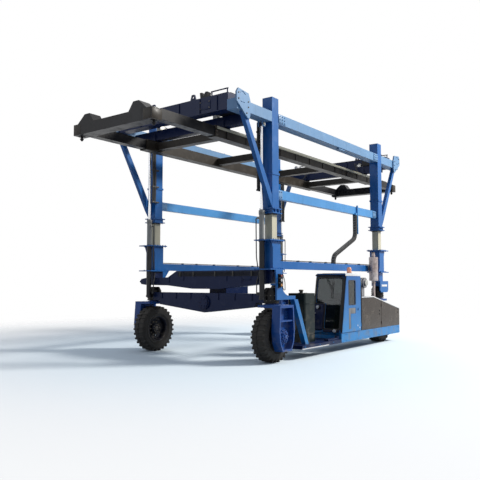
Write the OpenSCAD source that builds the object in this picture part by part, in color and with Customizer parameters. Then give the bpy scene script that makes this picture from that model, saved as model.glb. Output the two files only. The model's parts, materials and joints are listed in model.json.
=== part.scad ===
// Straddle carrier with a telescopic lifting frame and a container spreader.
// Millimetres. +X is forward, +Y is the cab side, +Z is up. The origin is on the
// ground under the middle of the machine.

/* [Machine] */
// Distance between the front and rear axles, also the spacing of the masts
wheelbase = 5870; // [5400:10:6400]
// Overall width over the forks and the cab
overall_w = 4640; // [4600:10:4760]
// Distance from a wheel's centre line to the outer faces of the forks and the cab
side_reach = 435; // [430:1:450]

/* [Wheels] */
// Diameter of a tyre over its lugs
tyre_d = 1180; // [1100:10:1240]
// Width of a tyre
tyre_w = 370; // [330:5:390]
// Diameter of a rim's seat
rim_d = 630; // [560:5:680]
// Height of a tyre's lugs
lug_h = 22; // [18:1:30]
// Number of lugs on each shoulder
lug_count = 24; // [20:4:28]

/* [Steering] */
// Diameter of a king-pin
kingpin_d = 120; // [90:1:140]
// Diameter of a steering head
head_d = 360; // [320:5:380]
// Top of the fork plates above the ground
fork_top_z = 1300; // [1290:1:1305]
// Width of a fork leg along the wheel
leg_w = 560; // [480:5:600]
// Thickness of a fork leg
leg_t = 215; // [180:1:225]
// Diameter of a stub axle
stub_d = 110; // [90:1:130]

/* [Masts] */
// Side of the square upper sleeves
sleeve_w = 270; // [256:1:280]
// Wall of the upper sleeves
sleeve_wall = 10; // [8:1:12]
// Side of the square inner masts
inner_w = 200; // [180:1:204]
// Side of the square lower sleeves
lower_w = 320; // [300:1:330]
// Bottom of the upper sleeves
sleeve_z0 = 3400; // [3380:1:3450]
// Top of the upper sleeves
sleeve_z1 = 6120; // [6060:1:6200]
// Top of the lower sleeves
lower_z1 = 2790; // [2740:1:2800]
// Top of the inner masts
inner_z1 = 5300; // [5200:1:5350]
// Outer diameter of the lift cylinders
barrel_d = 125; // [110:1:130]
// Diameter of the lift rods
rod_d = 70; // [50:1:80]

/* [Upper frame] */
// Bottom of the top longitudinal beams
top_z = 5530; // [5500:1:5560]
// Height of the top longitudinal beams
top_h = 240; // [200:1:260]
// Bottom of the mid braces
brace_z = 3770; // [3740:1:3900]
// Height of the mid braces
brace_h = 220; // [180:1:240]
// Length of the overhang past the masts, out to the front faces of the end plates
overhang = 1535; // [1500:5:1600]
// Height of the upper transverse beams
cross_h = 370; // [320:1:380]
// Radius of the holes in the lifting lugs
eye_r = 30; // [20:1:36]

/* [Spreader] */
// Distance between the outer faces of the end beams
spreader_len = 12300; // [12260:10:12400]
// Bottom of the spreader's frame
spreader_z = 5050; // [5040:1:5080]
// Distance between the twistlock centres across
lock_gauge = 2259; // [2250:1:2270]
// Height of the end beams
end_h = 250; // [220:1:255]

/* [Lower frame] */
// Top of the front cross-beam
beam_z1 = 2100; // [2090:1:2110]
// Bottom of the front cross-beam at its ends
beam_end_z = 1800; // [1780:1:1850]
// Bottom of the front cross-beam at its middle
beam_mid_z = 1650; // [1640:1:1700]
// Thickness of the front cross-beam and the axle beam
beam_t = 300; // [260:1:320]
// Top of the front axle beam
axle_z1 = 1550; // [1530:1:1560]
// Bottom of the front axle beam at its ends
axle_end_z = 1345; // [1340:1:1360]
// Bottom of the front axle beam at its middle
axle_mid_z = 1070; // [1050:1:1150]
// Bottom of the side base and its sills
sill_z0 = 240; // [220:1:260]
// Height of the sills
sill_h = 240; // [220:1:260]

/* [Cab] */
// Front face of the cab
cab_x1 = 280; // [240:1:320]
// Length of the cab
cab_l = 1170; // [1120:1:1190]
// Width of the cab with its door
cab_w = 910; // [880:5:915]
// Top of the cab's roof cap
cab_z1 = 2030; // [1980:1:2050]
// Lean of the windscreen, in degrees
rake = 10.5; // [8:0.5:12]
// Thickness of the cab's walls
cab_wall = 40; // [30:1:50]
// Thickness of the door
door_t = 38; // [30:1:45]

/* [Engine bay] */
// Rear end of the side base and of the engine bay
bay_x0 = -3620; // [-3700:5:-3600]
// Top of the engine bay
bay_z1 = 1410; // [1380:1:1430]
// Top of the engine doors at their rear end
bay_rear_z = 1010; // [980:1:1060]
// Thickness of the engine doors
bay_door_t = 35; // [25:1:45]

/* [Hidden] */
blue = [0.10, 0.38, 0.78];
pale_blue = [0.55, 0.72, 0.92];
navy = [0.05, 0.10, 0.28];
cream = [0.86, 0.83, 0.72];
black = [0.08, 0.08, 0.09];
chrome = [0.80, 0.80, 0.82];
brown = [0.33, 0.30, 0.27];
$fn = 48;
axle_x = wheelbase / 2;
half_w = overall_w / 2;
mast_y = half_w - side_reach;
cab_y0 = half_w - cab_w;
tyre_r = tyre_d / 2;
eps = 1;
// Gap between pieces of different bodies that bear on each other
seat_gap = 0.3;
// Radial clearance of the king-pins and stub axles in their bores
fit = 0.05;
// Corners of the machine: side along X, side along Y
CORNERS = [[1, 1], [1, -1], [-1, 1], [-1, -1]];

// Draws its children at one corner. They are written for the front near corner, with
// their origin on the mast axis, +X outwards and +Y outboard.
module at_corner(c) {
    translate([c[0] * axle_x, c[1] * mast_y, 0])
        mirror([c[0] < 0 ? 1 : 0, 0, 0])
            mirror([0, c[1] < 0 ? 1 : 0, 0])
                children();
}

// Draws its children on both sides of the machine, or at both of its ends.
module both_sides() {
    children();
    mirror([0, 1, 0]) children();
}
module both_ends() {
    children();
    mirror([1, 0, 0]) children();
}

// A box by its low corner and its high corner.
module span(low, high) {
    translate(low) cube(high - low);
}

// A square post or tube around the Z axis.
module post(side, z0, z1) {
    translate([-side / 2, -side / 2, z0]) cube([side, side, z1 - z0]);
}
module tube(side, wall, z0, z1) {
    difference() {
        post(side, z0, z1);
        post(side - 2 * wall, z0 - eps, z1 + eps);
    }
}

// A plate in the XZ plane from an outline of [x, z] points, from y0 to y1.
module side_plate(points, y0, y1) {
    translate([0, y1, 0]) rotate([90, 0, 0]) linear_extrude(y1 - y0) polygon(points);
}

// A plate in the YZ plane from an outline of [y, z] points, from x0 to x1.
module cross_plate(points, x0, x1) {
    translate([x0, 0, 0]) rotate([90, 0, 90]) linear_extrude(x1 - x0) polygon(points);
}

// Points on an arc around [x, z], from angle a0 to a1, in n steps.
function arc(x, z, r, a0, a1, n = 8) =
    [for (i = [0 : n]) let (a = a0 + (a1 - a0) * i / n) [x + r * cos(a), z + r * sin(a)]];

// A rectangle with round corners, from x0 to x1 and from y0 to y1.
module round_span(x0, x1, y0, y1, r) {
    translate([x0 + r, y0]) square([x1 - x0 - 2 * r, y1 - y0]);
    translate([x0, y0 + r]) square([x1 - x0, y1 - y0 - 2 * r]);
    for (x = [x0 + r, x1 - r], y = [y0 + r, y1 - r])
        translate([x, y]) circle(r);
}

// Lower frame
head_z0 = fork_top_z + 30;
head_z1 = head_z0 + 360;
bore_z1 = head_z0 + 310;
flange_t = 25;
flange_w = lower_w + 140;
// Centre of a lift cylinder, from the mast axis
barrel_x = sleeve_w / 2 + 140;
barrel_y = -65;
flange_x1 = barrel_x + barrel_d / 2 + 20;
pivot_d = 280;
pivot_z = axle_z1 - 230;
bracket_y0 = flange_w / 2 - 40;
bracket_y1 = flange_w / 2;
bracket_z0 = head_z0 + 85;
gusset_x = -690;

// The far end tapers to a nose past the mast. The near end meets the bracket's plate.
module front_crossbeam() color(navy) {
    x0 = axle_x - beam_t / 2;
    end_y = mast_y + 100;
    foot = lower_w / 2;
    low_z = beam_z1 - 170;
    cross_plate([[-half_w + 20, low_z - 100], [-half_w + 90, low_z - 30], [-mast_y - foot, low_z],
        [-mast_y - foot, beam_z1], [-mast_y + foot, beam_z1], [-mast_y + foot, low_z],
        [-1250, low_z + 10], [-950, beam_z1], [end_y, beam_z1], [end_y + 80, beam_z1 - 60],
        [end_y, beam_end_z], [400, beam_mid_z], [-400, beam_mid_z], [-1250, beam_end_z - 70],
        [-mast_y - foot, beam_end_z - 60], [-half_w + 90, beam_end_z - 40]], x0, x0 + beam_t);
}

fork_plate_y = 190;
axle_step_y = mast_y - norm([leg_w / 2, fork_plate_y]) - 15;

module axle_beam() color(navy) {
    x0 = axle_x - beam_t / 2;
    side = [[mast_y, axle_z1], [mast_y, axle_end_z], [axle_step_y + 20, axle_end_z],
        [axle_step_y, axle_end_z - 105]];
    difference() {
        cross_plate(concat(side, [[0, axle_mid_z]],
            [for (i = [len(side) - 1 : -1 : 0]) [-side[i][0], side[i][1]]]), x0, x0 + beam_t);
        translate([x0 - eps, 0, pivot_z]) rotate([0, 90, 0])
            cylinder(d = pivot_d + 2 * seat_gap, h = beam_t + 2 * eps);
        for (s = [-1, 1])
            translate([axle_x, s * mast_y, head_z0 - eps])
                cylinder(d = head_d + 2 * seat_gap, h = 400);
    }
}

// Deep yoke behind the cross-beam, with the axle beam's pivot along X.
module pivot_housing() color(navy) {
    x1 = axle_x - beam_t / 2;
    x0 = x1 - 1150;
    yoke_x = x1 - 225;
    yoke_z = pivot_z - pivot_d / 2 - 30;
    side_plate([[x0, beam_z1 - 20], [x1, beam_z1 - 20], [x1, beam_end_z], [yoke_x, beam_end_z],
        [yoke_x, yoke_z], [yoke_x - 450, yoke_z], [x0, axle_z1 - 50]], -270, 270);
    translate([yoke_x - eps, 0, pivot_z]) rotate([0, 90, 0])
        cylinder(d = pivot_d, h = x1 + beam_t + 60 - yoke_x + eps);
    for (x = [x1 - 40, x1 + beam_t])
        translate([x, 0, pivot_z]) rotate([0, 90, 0]) cylinder(d = pivot_d + 70, h = 40);
}

module steering_heads() color(black) {
    for (c = CORNERS) at_corner(c) difference() {
        union() {
            translate([0, 0, head_z0]) cylinder(d = head_d, h = head_z1 - head_z0 - 90);
            translate([0, 0, head_z1 - 90 - eps])
                cylinder(d1 = head_d, d2 = head_d * 0.72, h = 90 + eps);
        }
        translate([0, 0, head_z0 - eps])
            cylinder(d = kingpin_d + 2 * fit, h = bore_z1 - head_z0 + eps);
    }
}

// Side view of a near bracket: a narrow leg with a gusset that curves inwards.
function bracket_outline() = concat(
    [[-150, beam_z1], [150, beam_z1], [110, beam_z1 - 230], [110, bracket_z0],
        [gusset_x, bracket_z0], [gusset_x, bracket_z0 + 85]],
    arc(-440, bracket_z0 + 465, 380, -90, 0));

module mast_feet() color(blue) {
    for (c = CORNERS) at_corner(c) {
        if (c[0] < 0) post(head_d * 0.72, head_z1, beam_z1);
        if (c[0] > 0 && c[1] > 0) {
            side_plate(bracket_outline(), bracket_y0, bracket_y1);
            span([gusset_x, bracket_y0 - 110, bracket_z0], [-210, bracket_y0 + eps, bracket_z0 + 25]);
        }
        // The rear near bracket is a box beside the steering head
        if (c[0] < 0 && c[1] > 0) {
            z1 = head_z1 + 150;
            side_plate([[-300, z1], [-300, z1 - 270], [-230, z1 - 340], [230, z1 - 340], [300, z1 - 270],
                [300, z1]], bracket_y0, bracket_y1);
            span([-300, 10, z1 - 25], [300, bracket_y0 + eps, z1]);
            for (x = [-160, 130])
                span([x, head_d * 0.36 - eps, head_z1 + 20], [x + 30, bracket_y0 + eps, z1 - 24]);
        }
    }
}

// Flange plate of a lower sleeve, reaching out around the lift cylinder.
module mast_flange(z0, inner) {
    difference() {
        span([-flange_w / 2, -flange_w / 2, z0], [flange_x1, flange_w / 2, z0 + flange_t]);
        post(inner, z0 - eps, z0 + flange_t + eps);
        translate([barrel_x, barrel_y, z0 - eps])
            cylinder(d = barrel_d + 2 * seat_gap, h = flange_t + 2 * eps);
    }
}

module lower_sleeves() color(blue) {
    for (c = CORNERS) at_corner(c) {
        z0 = beam_z1 + flange_t;
        wall = (lower_w - inner_w) / 2 - seat_gap;
        tube(lower_w, wall, beam_z1, lower_z1);
        mast_flange(beam_z1, inner_w + 2 * seat_gap);
        mast_flange(lower_z1 - flange_t, inner_w + 2 * seat_gap);
        for (y = [-lower_w / 2, lower_w / 2 - 14])
            side_plate([[lower_w / 2 - eps, lower_z1 - flange_t], [lower_w / 2 + 60, lower_z1 - flange_t],
                [lower_w / 2 - eps, lower_z1 - flange_t - 170]], y, y + 14);
        for (y = [-lower_w / 2, lower_w / 2 - 14])
            side_plate([[-lower_w / 2 + eps, z0], [-lower_w / 2 - 60, z0],
                [-lower_w / 2 + eps, z0 + 150]], y, y + 14);
    }
}

module inner_masts() color(cream) {
    for (c = CORNERS) at_corner(c) {
        post(inner_w, beam_z1, inner_z1);
        post(sleeve_w - 2 * sleeve_wall - 2 * seat_gap, inner_z1 - 200, inner_z1);
    }
}

barrel_z0 = head_z0 + 90;
barrel_z1 = sleeve_z0 + 60;
gland_h = 60;

module lift_barrels() color(cream) {
    for (c = CORNERS) at_corner(c) translate([barrel_x, barrel_y, 0]) difference() {
        union() {
            translate([0, 0, barrel_z0]) cylinder(d = barrel_d, h = barrel_z1 - barrel_z0);
            translate([0, 0, barrel_z1 - 45]) cylinder(d = barrel_d + 16, h = 45);
        }
        translate([0, 0, barrel_z0 + 30])
            cylinder(d = rod_d + 26, h = barrel_z1 - barrel_z0 - 30 - gland_h);
        translate([0, 0, barrel_z1 - gland_h - eps])
            cylinder(d = rod_d + 2 * fit, h = gland_h + 2 * eps);
    }
}

tie_z0 = beam_z1 + flange_t;
tie_h = 185;
tie_y1 = mast_y + 85;
tie_y0 = mast_y - 55;

// Longitudinal beams between the lower sleeves, bowed outboard in the middle.
module tie_beams() color(blue) {
    inner = axle_x - lower_w / 2;
    bend = axle_x - 1035;
    both_sides() {
        translate([0, 0, tie_z0]) linear_extrude(tie_h)
            polygon([[-inner, mast_y + 40], [-bend, tie_y1], [bend, tie_y1], [inner, mast_y + 40],
                [inner, mast_y - 100], [bend, tie_y0], [-bend, tie_y0], [-inner, mast_y - 100]]);
        both_ends()
            side_plate([[inner - 75, tie_z0 + eps], [inner - 75, tie_z0 - 260],
                [inner - 130, tie_z0 - 260],
                [inner - 340, tie_z0 + eps]], mast_y - 60, mast_y + 20);
    }
}

// Side base, cab and engine bay
sill_z1 = sill_z0 + sill_h;
base_x1 = axle_x + gusset_x;
sill_y1 = half_w - 20;
sill_t = 60;
rail_w = 80;
well_x1 = axle_x - 685;
deck_t = 20;
deck_z = sill_z1 - 60;
clear = 5;

// Ladder frame under the cab and the engine, with one sill past the rear wheel.
module side_base() color(blue) {
    span([bay_x0, sill_y1 - sill_t, sill_z0], [cab_x1, sill_y1, sill_z1]);
    span([-well_x1, cab_y0, sill_z0], [cab_x1, cab_y0 + rail_w, sill_z1]);
    span([bay_x0, cab_y0, sill_z0], [bay_x0 + 40, sill_y1 - sill_t + eps, sill_z1]);
    for (x = [-well_x1, bay_break + 230, cab_x1 - cab_l - 40, cab_x1 - 80])
        span([x, cab_y0 + rail_w - eps, sill_z0], [x + 80, sill_y1 - sill_t + eps, deck_z]);
}

plat_z1 = sill_z0 + 90;

// Low platform between the cab and the front bracket, with an open floor.
module front_platform() color(navy) {
    y0 = cab_y0 + rail_w;
    y1 = sill_y1 - sill_t;
    span([cab_x1, y1, sill_z0], [base_x1, sill_y1, plat_z1]);
    span([cab_x1, cab_y0, sill_z0], [base_x1, y0, plat_z1]);
    for (x = [cab_x1, tank_x0 - 120, tank_x1 + 40, base_x1 - 80])
        span([x, y0 - eps, sill_z0], [x + 80, y1 + eps, plat_z1 - eps]);
    difference() {
        span([cab_x1, y0 - eps, plat_z1 - deck_t], [base_x1, y1 + eps, plat_z1]);
        for (x = [cab_x1 + 130 : 160 : tank_x0 - 260])
            span([x, y0 + 60, plat_z1 - deck_t - eps], [x + 90, y1 - 60, plat_z1 + eps]);
    }
    // Rounded bumper against the cab's foot
    translate([cab_x1 + 60, sill_y1 - 110, plat_z1 - eps]) cylinder(d = 110, h = 90);
    span([cab_x1 + 60, sill_y1 - 165, plat_z1 - eps], [cab_x1 + 620, sill_y1 - 55, plat_z1 + 45]);
}

module front_strut() color(blue) {
    side_plate([[base_x1 + 160, bracket_z0], [base_x1, bracket_z0], [base_x1 - 490, plat_z1],
        [base_x1 - 350, plat_z1]], sill_y1 - 240, sill_y1 - 120);
}

tank_x0 = cab_x1 + 820;
tank_x1 = tank_x0 + 520;
tank_y0 = cab_y0 + rail_w + 10;
tank_w = 500;
tank_h = 1210;

module hydraulic_tank() color([0.03, 0.07, 0.08]) {
    translate([0, 0, plat_z1]) linear_extrude(tank_h)
        round_span(tank_x0, tank_x1, tank_y0, tank_y0 + tank_w, tank_w / 10);
    translate([tank_x0 + tank_w * 0.4, tank_y0 + tank_w * 0.4, plat_z1 + tank_h - eps])
        cylinder(d = 90, h = 45);
}

cab_x0 = cab_x1 - cab_l;
cab_y1 = half_w - door_t - clear;
cab_z0 = sill_z1;
roof_t = 45;
pane_t = 8;
sill_line = 1230;
// Windows as x or y from low to high and z from low to high
// The windscreen's are in its own raked plane, measured up from the cab's floor
rake_x = (cab_z1 - roof_t - cab_z0) * tan(rake);
screen_span = [[cab_y0 + 60, cab_y1 - 60],
    [sill_line + 30 - cab_z0, (cab_z1 - roof_t - cab_z0) / cos(rake) - 70]];
screen_low = [[cab_y0 + 360, cab_y1 - 60], [110, sill_line + 130 - cab_z0]];
side_span = [[cab_x0 + 90, cab_x1 - rake_x - 90], [sill_line, cab_z1 - roof_t - 90]];
rear_span = [[cab_y0 + 90, cab_y1 - 90], [bay_z1 + 90, cab_z1 - roof_t - 90]];

// Draws its children in the windscreen's plane, with X straight ahead of it.
module on_screen() {
    translate([cab_x1, 0, cab_z0]) rotate([0, -rake, 0]) children();
}
// All that lies ahead of the windscreen's plane, or of one set back from it.
module ahead(back) {
    on_screen() translate([-back, cab_y0 - 100, -400]) cube([1500, cab_w + 200, 3000]);
}

// Outline of the windscreen: wide above, and down to the floor on the door's side.
module screen_outline(inset) {
    round_span(screen_span[0][0] + inset, screen_span[0][1] - inset,
        screen_span[1][0] + inset, screen_span[1][1] - inset, 60);
    round_span(screen_low[0][0] + inset, screen_low[0][1] - inset,
        screen_low[1][0] + inset, screen_low[1][1] - inset, 60);
}
module side_outline(inset) {
    round_span(side_span[0][0] + inset, side_span[0][1] - inset,
        side_span[1][0] + inset, side_span[1][1] - inset, 60);
}
module rear_outline(inset) {
    round_span(rear_span[0][0] + inset, rear_span[0][1] - inset,
        rear_span[1][0] + inset, rear_span[1][1] - inset, 60);
}

door_x0 = cab_x0 + 45;
door_x1 = cab_x1 - 5;
door_z0 = cab_z0 + 12;
door_z1 = cab_z1 - roof_t - 12;

module cab_shell() color(blue) {
    z1 = cab_z1 - roof_t;
    difference() {
        span([cab_x0, cab_y0, cab_z0], [cab_x1, cab_y1, z1]);
        ahead(0);
        difference() {
            span([cab_x0 + cab_wall, cab_y0 + cab_wall, cab_z0 + cab_wall],
                [cab_x1 - eps, cab_y1 - cab_wall, z1 + eps]);
            ahead(cab_wall);
        }
        difference() {
            span([door_x0 + 55, cab_y1 - cab_wall - eps, cab_z0 + 60],
                [door_x1 - eps, cab_y1 + eps, z1 - 60]);
            ahead(75);
        }
        on_screen() translate([-cab_wall - eps, 0, 0]) rotate([90, 0, 90])
            linear_extrude(cab_wall + 2 * eps) screen_outline(0);
        translate([0, cab_y0 + cab_wall + eps, 0]) rotate([90, 0, 0])
            linear_extrude(cab_wall + 2 * eps) side_outline(0);
        translate([cab_x0 - eps, 0, 0]) rotate([90, 0, 90])
            linear_extrude(cab_wall + 2 * eps) rear_outline(0);
    }
    color("white") translate([0, 0, z1]) linear_extrude(roof_t)
        round_span(cab_x0 - 15, cab_x1 - rake_x + 45, cab_y0, half_w - 8, 40);
    // Hinge lugs of the door
    for (z = hinge_zs(door_z0, door_z1))
        hinge_lug(door_hinge, z, [door_hinge[0] - 8, cab_y1 - eps], [door_hinge[0] + 8, door_hinge[1]]);
}

module cab_windows() color([0.2, 0.25, 0.27, 0.5]) {
    mid = cab_wall / 2 - pane_t / 2;
    on_screen() translate([-cab_wall + mid, 0, 0]) rotate([90, 0, 90])
        linear_extrude(pane_t) screen_outline(seat_gap);
    translate([0, cab_y0 + cab_wall - mid, 0]) rotate([90, 0, 0])
        linear_extrude(pane_t) side_outline(seat_gap);
    translate([cab_x0 + mid, 0, 0]) rotate([90, 0, 90])
        linear_extrude(pane_t) rear_outline(seat_gap);
}

// Hinges: a lug with an upright pin on the frame and a knuckle on the door
pin_r = 8;
knuckle_r = 14;
knuckle_h = 70;
lug_t = 14;
door_hinge = [cab_x0 + 28, half_w - knuckle_r - 2];
function hinge_zs(z0, z1) = [z0 + 120, z1 - 220];

module hinge_lug(axis, z, low, high) {
    translate([axis[0], axis[1], z - lug_t]) cylinder(r = knuckle_r, h = lug_t);
    translate([axis[0], axis[1], z - eps]) cylinder(r = pin_r, h = knuckle_h - 8);
    span([low[0], low[1], z - lug_t], [high[0], high[1], z]);
}

module hinge_knuckle(axis, z, low, high) {
    difference() {
        union() {
            translate([axis[0], axis[1], z + seat_gap]) cylinder(r = knuckle_r, h = knuckle_h);
            span([low[0], low[1], z + seat_gap], [high[0], high[1], z + seat_gap + knuckle_h]);
        }
        translate([axis[0], axis[1], z - eps]) cylinder(r = pin_r + fit, h = knuckle_h - 6 + eps);
    }
}

glass_x0 = door_x0 + 330;
glass_x1 = door_x1 - 400;
glass_z0 = sill_line - 15;
glass_z1 = cab_z1 - roof_t - 135;

module door_glass_outline(inset) {
    round_span(glass_x0 + inset, glass_x1 - inset, glass_z0 + inset, glass_z1 - inset, 25);
}

module cab_door() color(blue) {
    y0 = half_w - door_t;
    difference() {
        translate([0, half_w, 0]) rotate([90, 0, 0]) linear_extrude(door_t)
            round_span(door_x0, door_x1, door_z0, door_z1, 25);
        translate([0, half_w + eps, 0]) rotate([90, 0, 0]) linear_extrude(door_t + 2 * eps)
            door_glass_outline(0);
        ahead(clear);
        // Recess of the lower panel, a tall leg with an arm to the rear
        span([glass_x1 - 110, half_w - 6, door_z0 + 70], [glass_x1 + 10, half_w + eps, glass_z0 - 85]);
        span([glass_x0 - 10, half_w - 6, glass_z0 - 255], [glass_x1 - 109, half_w + eps, glass_z0 - 85]);
        span([glass_x0 - 190, half_w - 12, glass_z0 - 175],
            [glass_x0 - 70, half_w + eps, glass_z0 - 105]);
    }
    span([glass_x0 - 180, half_w - 13, glass_z0 - 147], [glass_x0 - 80, half_w - 3, glass_z0 - 133]);
    for (z = hinge_zs(door_z0, door_z1))
        hinge_knuckle(door_hinge, z, [door_hinge[0], y0], [door_x0 + eps, y0 + 14]);
}

module cab_door_glass() color([0.2, 0.25, 0.27, 0.5]) {
    translate([0, half_w - door_t / 2 + pane_t / 2, 0]) rotate([90, 0, 0])
        linear_extrude(pane_t) door_glass_outline(seat_gap);
}

seat_x = cab_x0 + 420;
seat_y = (cab_y0 + cab_y1) / 2;

module seat() color(black) {
    z0 = cab_z0 + cab_wall;
    span([seat_x - 150, seat_y - 150, z0], [seat_x + 150, seat_y + 150, z0 + 330]);
    translate([0, 0, z0 + 330]) linear_extrude(110)
        round_span(seat_x - 240, seat_x + 260, seat_y - 240, seat_y + 240, 70);
    translate([seat_x - 140, seat_y, z0 + 410]) rotate([90, 0, -90])
        linear_extrude(90) round_span(-230, 230, 0, 560, 80);
}

module steering_console() color([0.35, 0.36, 0.37]) {
    z0 = cab_z0 + cab_wall;
    x1 = cab_x1 - cab_wall - 190;
    side_plate([[x1 - 130, z0], [x1, z0], [x1, z0 + 560], [x1 - 230, z0 + 660], [x1 - 250, z0 + 600],
        [x1 - 130, z0 + 470]], seat_y - 130, seat_y + 130);
    translate([x1 - 170, seat_y, z0 + 600]) rotate([0, -32, 0]) {
        cylinder(d = 44, h = 150);
        translate([0, 0, 140]) difference() {
            cylinder(d = 380, h = 26);
            translate([0, 0, -eps]) cylinder(d = 326, h = 28);
        }
        translate([0, 0, 140]) for (a = [0, 120, 240]) rotate(a)
            translate([0, -14, 4]) cube([170, 28, 16]);
    }
}

// Top line of the engine bay: level behind the cab, then falling to the rear
bay_x1 = cab_x0 - 40;
bay_break = bay_x1 - 800;
bay_split = -well_x1;
function bay_top(x) = x > bay_break ? bay_z1
    : bay_z1 - (bay_z1 - bay_rear_z) * (bay_break - x) / (bay_break - bay_x0);
bay_door_y1 = sill_y1;
bay_door_y0 = bay_door_y1 - bay_door_t;

module bay_outline(x0, x1, z0, drop) {
    polygon(concat([[x0, z0], [x1, z0], [x1, bay_top(x1) - drop]],
        x0 < bay_break && bay_break < x1 ? [[bay_break, bay_z1 - drop]] : [],
        [[x0, bay_top(x0) - drop]]));
}

module engine_bay() color(navy) {
    t = 30;
    y1 = bay_door_y0 - seat_gap;
    difference() {
        translate([0, y1, 0]) rotate([90, 0, 0]) linear_extrude(y1 - cab_y0)
            bay_outline(bay_split, bay_x1, sill_z1, clear);
        translate([0, y1 + eps, 0]) rotate([90, 0, 0]) linear_extrude(y1 - cab_y0 - t + eps)
            bay_outline(bay_split + t, bay_x1 - t, sill_z1 + t, clear + t);
        // Air grille through the inner wall
        for (z = [bay_rear_z - 310 : 90 : bay_rear_z + 90])
            span([bay_x1 - 1000, cab_y0 - eps, z], [bay_x1 - 250, cab_y0 + t + eps, z + 45]);
    }
    // Rear post and top rail of the wheel well
    difference() {
        union() {
            span([bay_x0, y1 - 40, sill_z1], [bay_x0 + 40, y1, bay_top(bay_x0) - clear]);
            translate([0, y1, 0]) rotate([90, 0, 0]) linear_extrude(40) polygon([
                [bay_x0, bay_top(bay_x0) - clear], [bay_split + eps, bay_top(bay_split) - clear],
                [bay_split + eps, bay_top(bay_split) - 60], [bay_x0, bay_top(bay_x0) - 60]]);
        }
    }
    for (h = bay_hinges)
        hinge_lug([h[0], bay_hinge_y], h[1], [h[0] - 26, y1 - 60], [h[0] + 16, bay_hinge_y]);
}

bay_hinge_y = half_w - knuckle_r - 6;
latch_zs = [bay_rear_z - 130, bay_rear_z - 30];
// Hinges of the engine doors: x of the axis, z of the lug's top
bay_hinges = [[bay_x1 + 12, sill_z1 + 110], [bay_x1 + 12, bay_z1 - 160],
    [bay_split - 14, sill_z1 + 110], [bay_split - 14, bay_top(bay_split) - 200]];

module engine_door(x0, x1, hinge_x, hinges) {
    z0 = sill_z1 + clear;
    difference() {
        translate([0, bay_door_y1, 0]) rotate([90, 0, 0]) linear_extrude(bay_door_t)
            bay_outline(x0, x1, z0, 0);
        for (h = hinges)
            span([hinge_x - 32, bay_door_y0 - eps, h[1] - lug_t - 6],
                [hinge_x + eps, bay_door_y1 + eps, h[1] + knuckle_h + 6]);
        // Two latches near the free edge
        for (z = latch_zs)
            translate([x0 + 110, bay_door_y1 + eps, z]) rotate([90, 0, 0]) cylinder(d = 60, h = 8);
    }
    for (z = latch_zs)
        translate([x0 + 110, bay_door_y1 - 2, z]) rotate([90, 0, 0]) cylinder(d = 44, h = 8);
    for (h = hinges)
        hinge_knuckle([hinge_x, bay_hinge_y], h[1], [hinge_x - 34, bay_door_y0],
            [hinge_x, bay_door_y1]);
}
module engine_door_front() color(brown)
    engine_door(bay_split + 4, bay_x1 - 4, bay_x1 + 12, [bay_hinges[0], bay_hinges[1]]);
module engine_door_rear() color(brown)
    engine_door(bay_x0, bay_split - 14, bay_split - 14, [bay_hinges[2], bay_hinges[3]]);

module engine_block() color([0.3, 0.3, 0.3]) {
    span([bay_split + 170, cab_y0 + 180, sill_z1 + 30],
        [bay_x1 - 150, bay_door_y0 - 135, bay_rear_z + 120]);
}

exhaust_x = bay_split + 70;
muffler_d = 260;
muffler_h = 700;
muffler_z0 = tie_z0 - 275;
exhaust_y = tie_y1 + muffler_d / 2 + 10;
pipe_z0 = bay_top(exhaust_x + 40) - clear + seat_gap;

module exhaust() color([0.55, 0.53, 0.55]) {
    translate([exhaust_x, exhaust_y, muffler_z0]) cylinder(d = muffler_d, h = muffler_h);
    translate([exhaust_x, exhaust_y, muffler_z0 + muffler_h - eps]) cylinder(d = 90, h = 120);
    translate([exhaust_x, exhaust_y, pipe_z0]) cylinder(d = 80, h = muffler_z0 + eps - pipe_z0);
    span([exhaust_x - 60, tie_y1 + seat_gap, tie_z0 + 40], [exhaust_x + 60, exhaust_y, tie_z0 + 140]);
}

module air_filter() color([0.75, 0.75, 0.77]) {
    x = bay_break + 20;
    z = bay_z1 + 380;
    translate([x, mast_y - 130, z]) rotate([-90, 0, 0]) cylinder(d = 300, h = 300);
    translate([x, mast_y + 169, z]) rotate([-90, 0, 0]) cylinder(d = 180, h = 40);
    span([x - 90, mast_y - 60, bay_z1 - clear], [x + 90, mast_y + 100, z]);
}

module beacon() color("orange") {
    translate([cab_x1 - 680, half_w - 120, cab_z1]) {
        cylinder(d = 150, h = 30);
        cylinder(d = 130, h = 150);
        translate([0, 0, 149]) cylinder(d1 = 130, d2 = 80, h = 40);
    }
}

lamp_y = mast_y + bracket_y1;
// Lamps down the near front bracket: height and diameter
lamps = [[beam_z1 - 140, 64], [beam_z1 - 240, 84], [beam_z1 - 350, 84]];

module lamp_stack() color([0.9, 0.3, 0.2]) {
    x = axle_x + 10;
    span([x - 50, lamp_y, beam_z1 - 410], [x + 50, lamp_y + 20, beam_z1 - 90]);
    for (lamp = lamps)
        translate([x, lamp_y + 19, lamp[0]]) rotate([-90, 0, 0]) cylinder(d = lamp[1], h = 46);
}

// Forks and wheels, written for the front near corner. The rear forks carry their
// wheels from the inboard side.
leg_y1 = half_w - mast_y;
leg_y0 = leg_y1 - leg_t;
leg_top_x = leg_w / 2;
leg_z0 = 270;
plate_h = 60;
rim_t = 42;
web_t = 60;

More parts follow.
